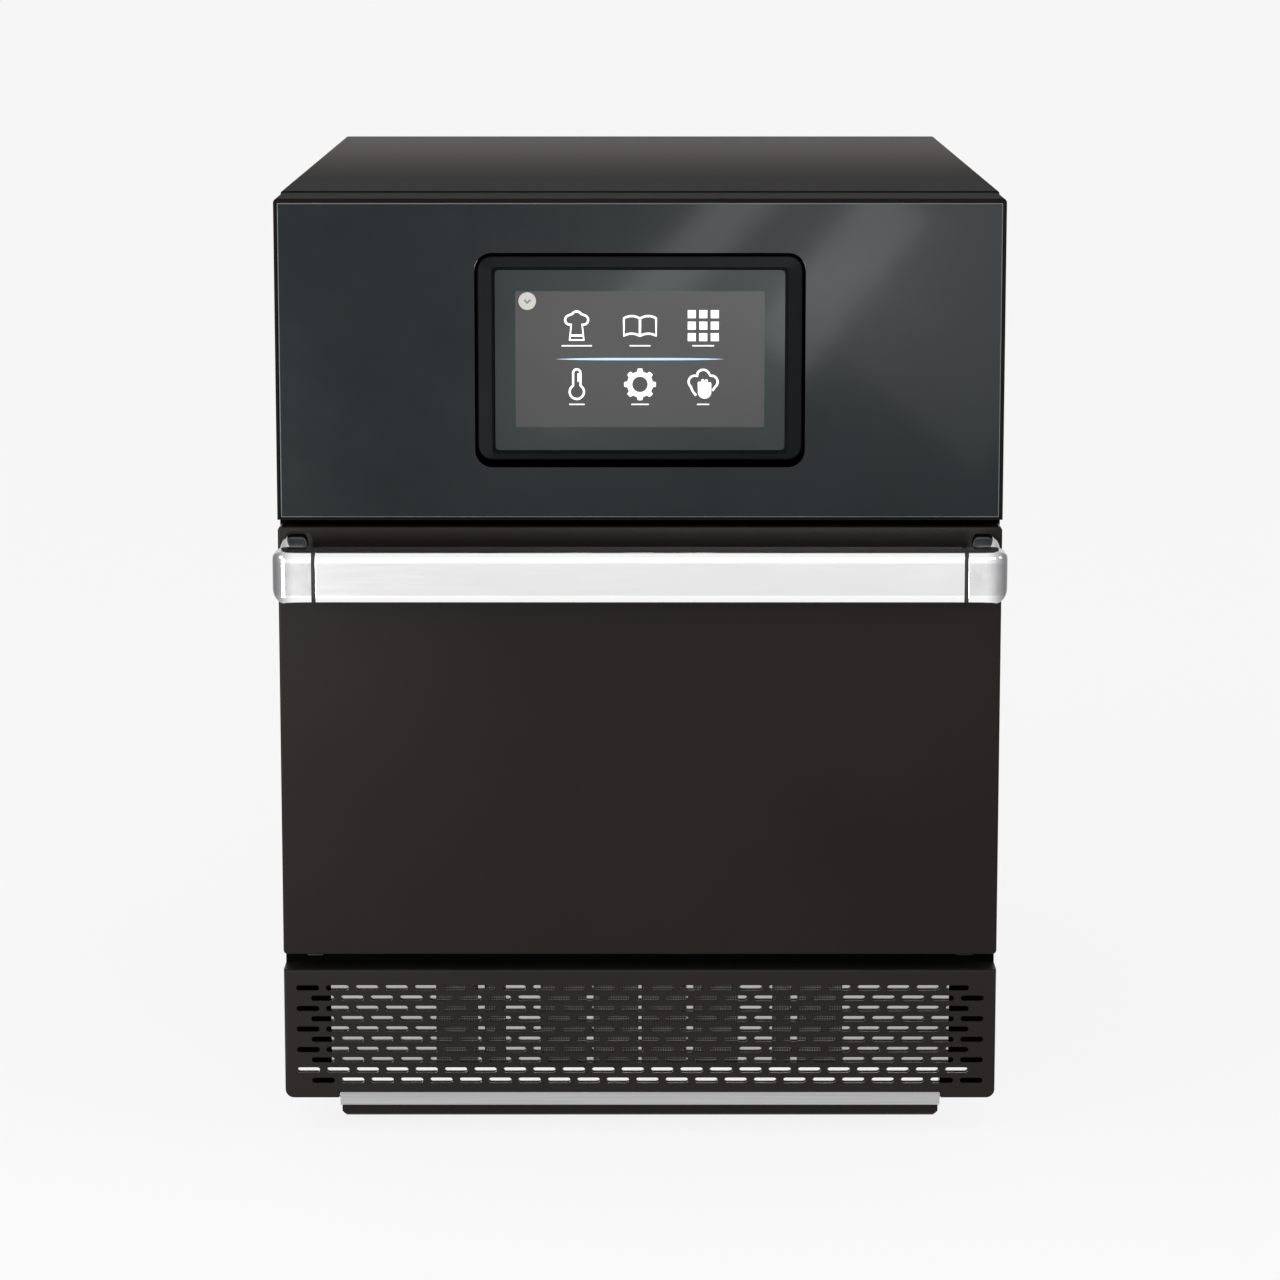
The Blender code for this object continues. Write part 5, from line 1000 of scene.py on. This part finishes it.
def make_gland():
    """Cord gland: a hexagon on the panel and a stepped, hollow sleeve."""
    low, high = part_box("cable_gland")
    x, z = (low.x + high.x) / 2, (low.z + high.z) / 2
    radius = (high.z - low.z) / 2
    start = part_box("rear_panel")[1].y + GAP
    nut = start_rod("gland_nut", (x, start + GLAND_NUT / 2, z), radius, GLAND_NUT, "Y", 6)
    round_rim(nut, faces_to(1, 1), GLAND_EDGE, 2)
    centre = (x, (start + high.y) / 2, z)
    sleeve = start_rod("gland_sleeve", centre, radius * GLAND_SLEEVE, high.y - start)
    round_rim(sleeve, faces_to(1, 1), GLAND_EDGE, 3)
    pick(sleeve, "FACE", faces_to(1, 1))
    bpy.ops.mesh.inset(thickness=radius * GLAND_WALL)
    extrude((0, -GLAND_BORE, 0))
    leave(sleeve)
    gland = joined("cable_gland_moulded", [nut, sleeve])
    fit(smoothed(gland), PLASTIC, "root", "black_plastic", "cable_gland")


def make_rocker_marks():
    """A stroke and a ring for on and off."""
    low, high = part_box("power_rocker")
    middle = (low + high) / 2
    reach = (high.z - low.z) / 4
    half = Vector((MARK_PEN / 2, MARK_PEN / 2, reach / 2))
    upper = Vector((middle.x, ROCKER_FACE, middle.z + reach))
    stroke = start_block("rocker_on", upper - half, upper + half)
    lower = (middle.x, ROCKER_FACE, middle.z - reach)
    ring = start_ring("rocker_off", lower, reach / 2, MARK_PEN)
    fit(joined("power_rocker_marks", [stroke, ring]), MARK_WHITE, "rocker", "black_plastic")


def make_feet():
    """Rubber feet with a rounded sole and a softly rounded top."""
    for end in ("front_left", "front_right", "rear_left", "rear_right"):
        low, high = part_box(f"foot_{end}")
        centre = (low + high) / 2
        foot = start_rod(f"foot_{end}_rubber", centre, (high.x - low.x) / 2, high.z - low.z, "Z")
        round_rim(foot, faces_to(2, -1), FOOT_ROUND, 4)
        round_rim(foot, faces_to(2, 1), FOOT_ROUND / 2, 3)
        fit(smoothed(foot), FOOT_RUBBER, "root", "foot_rubber", f"foot_{end}")


def make_door_skin():
    """Painted pan of the door, with round corners, a soft front edge and room for the hinges below."""
    low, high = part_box("door_skin")
    skin = round_block("door_skin_painted", low, high, 1, DOOR_CORNER, 5)
    round_rim(skin, faces_to(1, -1), DOOR_EDGE, 4)
    hollow_out(skin, low, high, COVER_SHEET)
    for side in ("left", "right"):
        hinge_low, hinge_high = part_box(f"hinge_bracket_{side}")
        notch_low = (hinge_low.x - HINGE_PLAY, low.y + HINGE_DEPTH, low.z - COVER_SHEET)
        notch_high = (hinge_high.x + HINGE_PLAY, high.y + COVER_SHEET, (hinge_low.z + hinge_high.z) / 2)
        cut_block(skin, notch_low, notch_high)
    fit(smoothed(skin), PAINT, "door", "black_paint", "door_skin")


def make_door_inner():
    """Inner sheet of the door: its middle is pressed out into the cavity's mouth, hollow behind."""
    low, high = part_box("door_inner")
    sheet_high = (high.x, low.y + COVER_SHEET, high.z)
    sheet = round_block("door_inner_pressed", low, sheet_high, 1, PLUG_CORNER / 2, 4)
    boolean(sheet, plug_block(low.y, high.y, PLUG_PLAY), "UNION")
    boolean(sheet, plug_block(low.y - COVER_SHEET, high.y - COVER_SHEET, PLUG_PLAY + COVER_SHEET))
    fit(smoothed(sheet), STEEL, "door", "stainless", "door_inner")


def plug_block(front, back, play):
    """A block with round corners and a soft crown, as large as the cavity's mouth less some play."""
    mouth_low, mouth_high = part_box("cavity_shell")
    low = (mouth_low.x + play, front, mouth_low.z + play)
    high = (mouth_high.x - play, back, mouth_high.z - play)
    block = round_block("plug", low, high, 1, PLUG_CORNER, 8)
    return round_rim(block, faces_to(1, 1), PLUG_CROWN, 4)


def make_door_seal():
    """Soft ring round the plug, with rounded lips."""
    low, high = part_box("door_seal")
    seal = round_block("door_seal_moulded", low, high, 1, SEAL_CORNER, 10)
    side = Vector((SEAL_WIDTH, -GAP, SEAL_WIDTH))
    boolean(seal, round_block("inside", low + side, high - side, 1, SEAL_CORNER - SEAL_WIDTH, 10))
    round_rim(seal, faces_to(1, 1), SEAL_LIP, 3)
    fit(smoothed(seal), SEAL_RUBBER, "door", "seal_rubber", "door_seal")


def make_cook_plate():
    """Loose tray: a flat floor inside a low rim with soft edges."""
    low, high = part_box("cook_plate")
    plate = round_block("cook_plate_pressed", low, high, 2, PLATE_CORNER, 8)
    pick(plate, "FACE", faces_to(2, 1))
    bpy.ops.mesh.inset(thickness=PLATE_SHEET)
    extrude((0, 0, low.z - high.z + PLATE_SHEET))
    leave(plate)
    round_rim(plate, faces_to(2, 1), PLATE_SHEET / 3, 3)
    round_rim(plate, faces_to(2, -1), PLATE_SHEET / 2, 3)
    fit(smoothed(plate), PLATE_STEEL, "shelf", "stainless", "cook_plate")


def make_fan_cover():
    """Disc with two rings of slots that the fan draws through."""
    low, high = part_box("fan_cover")
    middle = (low + high) / 2
    radius = (high.x - low.x) / 2
    disc = start_rod("fan_cover_punched", middle, radius, high.y - low.y, sides=FAN_COVER_SIDES)
    cutters = []
    for share, count in FAN_COVER_RINGS:
        length, width = FAN_COVER_SLOT
        half = Vector((length / 2, high.y - low.y, width / 2))
        centre = middle + Vector((share * radius, 0, 0))
        cutter = round_block("slots", centre - half, centre + half, 1, width / 2, 4)
        cutters.append(round_about(cutter, middle, count))
    boolean(disc, joined("slots", cutters))
    fit(smoothed(disc), STEEL, "root", "stainless", "fan_cover")


def round_about(piece, centre, count):
    """Copies a mesh inside one piece, evenly about an axis from front to back."""
    pick(piece, "FACE", lambda face: True)
    angle = math.radians(360.0 * (count - 1) / count)
    bpy.ops.mesh.spin(steps=count - 1, dupli=True, angle=angle, center=centre, axis=(0, 1, 0))
    return leave(piece)


def make_front_housing():
    """Folded box round the fascia: a soft top edge, a shallow pocket for the glass, open behind."""
    low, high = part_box("front_housing")
    glass_low, glass_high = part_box("fascia_glass")
    bezel_low, bezel_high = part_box("screen_bezel")
    top = high.z - HOUSING_STEP
    housing = start_block("front_housing_folded", low, (high.x, high.y, top))
    points = housing.data.vertices

    def at_top(edge):
        ends = [points[end].co for end in edge.vertices]
        return all(end.z > top - MERGE for end in ends) and any(end.y < high.y - MERGE for end in ends)

    round_edges(housing, at_top, HOUSING_FOLD, 6)
    round_edges(housing, runs_along(housing, 2), HOUSING_EDGE, 3)
    play = Vector((GAP, GAP, GAP))
    cut_block(housing, glass_low - 2 * play, glass_high + play)
    wall = Vector((HOUSING_WALL, 0, HOUSING_WALL))
    start = Vector((low.x, glass_high.y + GAP + HOUSING_WALL, low.z)) + wall
    cut_block(housing, start, Vector((high.x, high.y + GAP, high.z)) - wall)
    boolean(housing, round_block("window", bezel_low - play, bezel_high + play, 1, BEZEL_ROUND, 8))
    fit(smoothed(housing), COVER_PAINT, "root", "black_paint", "front_housing")
    # The housing's sides take the paler paint: painted light
    paint_faces(housing, SIDE_PAINT_LIGHTENED, faces_sideways)


def make_rear_panel():
    """Rear sheet with rows of vents, two stamped fan guards, and openings for the gland and the switch."""
    low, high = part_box("rear_panel")
    panel = start_block("rear_panel_stamped", low, high)
    round_edges(panel, long_edges_at(panel, high.z), REAR_CORNER, 5)
    cutters = [vent_cutters(low, high)]
    for side in ("left", "right"):
        centre = middle_of(f"cooling_fan_frame_{side}")
        centre.y = (low.y + high.y) / 2
        cutters += [guard_cutters(centre, *shares, low, high) for shares in GUARD_RINGS]
    hole = middle_of("cable_gland")
    hole.y = high.y
    cutters.append(start_rod("gland_hole", hole, GLAND_HOLE, 4 * (high.y - low.y)))
    middle = middle_of("power_rocker")
    middle.y = high.y
    half = Vector((SWITCH_HOLE[0] / 2, 2 * (high.y - low.y), SWITCH_HOLE[1] / 2))
    cutters.append(start_block("switch_hole", middle - half, middle + half))
    boolean(panel, joined("cutters", cutters))
    # The rear panel in the paler paint: painted light
    fit(smoothed(panel), SIDE_PAINT_LIGHTENED, "root", "black_paint", "rear_panel")


def vent_cutters(low, high):
    """One round-ended upright slot, repeated in rows and columns."""
    width, length = VENT_SIZE
    first = Vector((-(VENT_COLUMNS - 1) / 2 * VENT_PITCH, (low.y + high.y) / 2, high.z - VENT_DROP))
    half = Vector((width / 2, high.y - low.y, length / 2))
    cutter = round_block("vents", first - half, first + half, 1, width / 2, 4)
    repeated(cutter, [(VENT_PITCH, 0, 0)] * (VENT_COLUMNS - 1))
    lower = copy_to(cutter, "vents_lower", (0, 0, -VENT_ROW_PITCH))
    return joined("vents", [cutter, lower])


def guard_cutters(centre, near, far, low, high):
    """Four windows of a fan guard between two radii, with webs between them."""
    half = Vector(((far - near) / 2, high.y - low.y, GUARD_START))
    middle = centre + Vector(((near + far) / 2, 0, 0))
    start = start_block("guard_window", middle - half, middle + half)
    pick(start, "FACE", faces_to(2, -1))
    bpy.ops.mesh.select_all(action="INVERT")
    bpy.ops.mesh.delete(type="FACE")
    bpy.ops.mesh.select_all(action="SELECT")
    web = math.radians(GUARD_WEB / 2)
    bpy.ops.transform.rotate(value=web, orient_axis="Y", center_override=centre)
    sweep = math.radians(90 - GUARD_WEB)
    bpy.ops.mesh.spin(steps=GUARD_STEPS, angle=sweep, center=centre, axis=(0, -1, 0))
    leave(start)
    return round_about(turned_out(start), centre, 4)


def make_bezel():
    """Frame with a round outer edge and a slope down to the glass."""
    low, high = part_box("screen_bezel")
    glass_low, glass_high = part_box("touch_glass")
    border = glass_low.z - low.z
    start = (low.x, low.y + BEZEL_LEAN, low.z)
    bezel = round_block("screen_bezel_moulded", start, high, 1, BEZEL_ROUND, 8)
    round_rim(bezel, faces_to(1, -1), BEZEL_EDGE, 3)
    pick(bezel, "FACE", faces_to(1, -1))
    bpy.ops.mesh.inset(thickness=border - BEZEL_EDGE - BEZEL_SLOPE, depth=BEZEL_LEAN)
    sideways = (glass_high.x - glass_low.x) / (high.x - low.x - 2 * border)
    centre = (0, low.y, (glass_low.z + glass_high.z) / 2)
    bpy.ops.transform.resize(value=(sideways, 1, 1), center_override=centre)
    bpy.ops.mesh.inset(thickness=BEZEL_SLOPE, depth=-(glass_low.y - low.y))
    extrude((0, BEZEL_FOOT, 0))
    leave(bezel)
    fit(smoothed(turned_out(bezel)), BEZEL_PLASTIC, "root", "black_plastic", "screen_bezel")


def display_point(x, z, films):
    """A place on the glass, given from its middle, and lifted off it by so many films."""
    middle = middle_of("touch_glass")
    return (middle.x + x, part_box("touch_glass")[0].y - films * FILM, middle.z + z)


def make_picture():
    """The lit part of the display, a film on the glass."""
    width, height = PICTURE_SIZE
    low = Vector(display_point(-width / 2, PICTURE_LEVEL - height / 2, 1))
    high = low + Vector((width, FILM, height))
    picture = round_block("display_picture", low, high, 1, PICTURE_ROUND, 3)
    fit(picture, DISPLAY, "root", "touch_surface")


def drawn(name, points, closed=False, width=PEN):
    """A flat line through points in X and Z, in millimetres."""
    curve = bpy.data.curves.new(name, "CURVE")
    curve.dimensions = "3D"
    curve.bevel_depth = width / 2
    curve.bevel_resolution = 1
    curve.use_fill_caps = True
    spline = curve.splines.new("POLY")
    spline.points.add(len(points) - 1)
    for point, (x, z) in zip(spline.points, points):
        point.co = (x, 0, z, 1)
    spline.use_cyclic_u = closed
    line = bpy.data.objects.new(name, curve)
    bpy.context.scene.collection.objects.link(line)
    choose(line)
    bpy.ops.object.convert(target="MESH")
    bpy.context.object.scale = (1, 1 / width, 1)
    return settle(name)


def filled(name, points):
    """A flat shape inside points in X and Z, in millimetres."""
    bpy.ops.mesh.primitive_circle_add(vertices=len(points), fill_type="NGON", rotation=TURNS["Y"])
    shape = settle(name)
    for vertex, (x, z) in zip(shape.data.vertices, points):
        vertex.co = (x, -1 / 2, z)
    pick(shape, "FACE", lambda face: True)
    extrude((0, 1, 0))
    leave(shape)
    return turned_out(shape)


def hat():
    """A cook's hat over a band."""
    left = arc_points((-4.2, 3.6), 3.0, -75, -170)
    top = arc_points((0, 5.6), 3.3, 150, -120)
    right = arc_points((4.2, 3.6), 3.0, 65, -170)
    outline = [(-4.4, -9.0)] + left + top + right + [(4.4, -9.0)]
    return [drawn("hat", outline, True), drawn("band", [(-4.4, -6.2), (4.4, -6.2)])]


def book():
    """An open book."""
    lines = [drawn("spine", [(0, 4.4), (0, -6.6)])]
    for side in (-1, 1):
        top = arc_points((5.2, -3.4), 9.4, 123.5, -65)
        foot = arc_points((5.2, -14.4), 9.4, 58.5, 65)
        page = [(side * x, z) for x, z in top + foot]
        lines.append(drawn("page", page, True))
    return lines


def squares():
    """Nine squares."""
    shapes = []
    for column in (-SQUARE_PITCH, 0, SQUARE_PITCH):
        for row in (-SQUARE_PITCH, 0, SQUARE_PITCH):
            left, right, low, high = column - SQUARE, column + SQUARE, row - SQUARE, row + SQUARE
            shapes.append(filled("square", [(left, low), (right, low), (right, high), (left, high)]))
    return shapes


def thermometer():
    """A thermometer with its level."""
    bulb = arc_points((0, -4.7), 4.5, 121, 298, 24)
    stem = arc_points((0, 7.2), 2.3, 0, 180, 10)
    return [drawn("glass", stem + bulb, True), drawn("mark", [(0.9, 1.6), (0.9, 7.0)], width=1.0)]


def gear():
    """A toothed wheel with a hole."""
    outer, root, hole = GEAR_RADII
    outline = []
    for i in range(GEAR_TEETH):
        middle = 360 * i / GEAR_TEETH
        outline += arc_points((0, 0), outer, middle - GEAR_TIP / 2, GEAR_TIP, 2)
        outline += arc_points((0, 0), root, middle + GEAR_FOOT / 2, 360 / GEAR_TEETH - GEAR_FOOT, 3)
    wheel = filled("gear", outline)
    return [boolean(wheel, start_rod("gear_hole", (0, 0, 0), hole, 2, "Y", 32))]


def mitt():
    """A hand before a cloud."""
    cloud = [(-4.4, -7.0), (-6.6, -4.2)] + arc_points((-5.2, 1.6), 3.9, 230, -165)
    cloud += arc_points((0, 5.2), 4.0, 155, -130)
    cloud += arc_points((5.2, 1.6), 3.9, 100, -150) + [(5.8, -4.0)]
    hand = arc_points((0.9, -4.8), 4.2, -170, 160, 12)
    for place, level in ((4.1, 0.4), (2.0, 2.2), (-0.3, 2.4), (-2.4, 0.8)):
        hand += arc_points((place, level), 1.0, 0, 180, 5)
    return [drawn("cloud", cloud), filled("hand", hand)]


def put_on_display(shape, x, z, films, material):
    """Brings a drawing from millimetres at the origin to its place in front of the glass."""
    shape.location = display_point(x, z, films)
    shape.scale = (MILLIMETRE, FILM, MILLIMETRE)
    choose(shape)
    settle(shape.name)
    fit(shape, material, "root", "touch_surface")


def make_icons():
    """Six plain pictures in two rows, each over a short bar where a name would stand."""
    rows = ((hat, book, squares), (thermometer, gear, mitt))
    for level, makers in zip(ICON_LEVELS, rows):
        for column, maker in zip((-1, 0, 1), makers):
            half = CAPTION_HALVES[maker.__name__]
            line = drawn("caption", [(-half, CAPTION_LEVEL), (half, CAPTION_LEVEL)], width=CAPTION_PEN)
            icon = joined(f"icon_{maker.__name__}", maker() + [line])
            put_on_display(icon, column * ICON_PITCH, level, 2, ICON_WHITE)


def make_divider_and_key():
    """The thin blue line between the rows, and the round key in the corner."""
    half, thickness = DIVIDER
    upper = [(half * place, thickness * (1 - place**4)) for place in DIVIDER_SHARES]
    lower = [(x, -z) for x, z in reversed(upper[1:-1])]
    put_on_display(filled("display_divider", upper + lower), 0, DIVIDER_LEVEL, 2, DIVIDER_BLUE)
    disc = filled("display_key", arc_points((0, 0), KEY_RADIUS, 0, 360, 40)[:-1])
    put_on_display(disc, *KEY_PLACE, 2, KEY_CREAM)
    tick = drawn("display_key_mark", [(-1.8, 0.8), (0, -1.2), (1.8, 0.8)])
    put_on_display(tick, *KEY_PLACE, 3, KEY_GREY)


def paper_floor():
    """A pale floor that reaches out of sight. The camera and shiny things see its plain colour."""
    bpy.ops.mesh.primitive_plane_add(size=2 * FLOOR_REACH)
    floor = bpy.context.object
    floor.name = "floor"
    material = bpy.data.materials.new("pale_paper")
    material.use_nodes = True
    tree = material.node_tree
    tree.nodes.clear()
    ray = add_node(tree, "ShaderNodeLightPath").outputs
    shown = reckon(tree, "MULTIPLY", ray["Is Camera Ray"], PAPER_SHARE)
    mirrored = reckon(tree, "ADD", ray["Is Glossy Ray"], ray["Is Transmission Ray"])
    plain = reckon(tree, "ADD", shown, mirrored, use_clamp=True)
    matt = add_node(tree, "ShaderNodeBsdfDiffuse", {"Color": (*PAPER, 1)})
    glow = add_node(tree, "ShaderNodeEmission", {"Color": (*PAPER_SEEN, 1), "Strength": 1.0})
    mixed = add_node(tree, "ShaderNodeMixShader", {0: plain, 1: matt.outputs[0], 2: glow.outputs[0]})
    add_node(tree, "ShaderNodeOutputMaterial", {"Surface": mixed.outputs[0]})
    wear(floor, material)


def studio_world():
    """Even light from all sides, seen as the paper's colour."""
    world = bpy.data.worlds.new("studio")
    bpy.context.scene.world = world
    world.use_nodes = True
    tree = world.node_tree
    tree.nodes.clear()
    ray = add_node(tree, "ShaderNodeLightPath").outputs
    seen = reckon(tree, "ADD", ray["Is Camera Ray"], ray["Is Glossy Ray"])
    seen = reckon(tree, "ADD", seen, ray["Is Transmission Ray"], use_clamp=True)
    even = add_node(tree, "ShaderNodeBackground", {"Color": (*PAPER, 1), "Strength": SKY_POWER})
    shown = add_node(tree, "ShaderNodeBackground", {"Color": (*PAPER, 1), "Strength": 1.0})
    mixed = add_node(tree, "ShaderNodeMixShader", {0: seen, 1: even.outputs[0], 2: shown.outputs[0]})
    add_node(tree, "ShaderNodeOutputWorld", {"Surface": mixed.outputs[0]})


def softbox(name, place, target, width, height, power, roll):
    """A soft lamp that faces a point."""
    lamp = bpy.data.lights.new(name, "AREA")
    lamp.shape = "RECTANGLE"
    lamp.size = width
    lamp.size_y = height
    lamp.energy = power
    made = bpy.data.objects.new(name, lamp)
    bpy.context.scene.collection.objects.link(made)
    made.location = place
    made.rotation_euler = (Vector(target) - Vector(place)).to_track_quat("-Z", "Y").to_euler()
    made.rotation_euler.rotate_axis("Z", math.radians(roll))
    made.visible_camera = False


def photo_camera():
    """The photograph's camera, which looks down a little on the front."""
    lens = bpy.data.cameras.new("camera")
    lens.sensor_width = SENSOR
    lens.lens = SENSOR * FOCAL_PIXELS / PICTURE_WIDTH
    lens.clip_end = 4 * FLOOR_REACH
    camera = bpy.data.objects.new("camera", lens)
    bpy.context.scene.collection.objects.link(camera)
    camera.location = (0, FRONT - CAMERA_DISTANCE, CAMERA_HEIGHT)
    camera.rotation_euler = (math.radians(90 - CAMERA_LEAN), 0, 0)
    bpy.context.scene.camera = camera


finish_frame()
make_cover()
make_rear_screws()
make_gland()
make_rocker_marks()
make_feet()
make_door_skin()
make_door_inner()
make_door_seal()
make_cook_plate()
make_fan_cover()
make_front_housing()
make_rear_panel()
make_handle_bar()
make_handle_end()
make_fascia_glass()
make_grille()
make_filter_flange()
make_filter_mesh()
make_bezel()
make_picture()
make_icons()
make_divider_and_key()
paper_floor()
studio_world()
for lamp in LAMPS:
    softbox(*lamp)
photo_camera()
bpy.context.scene.view_settings.view_transform = "Standard"
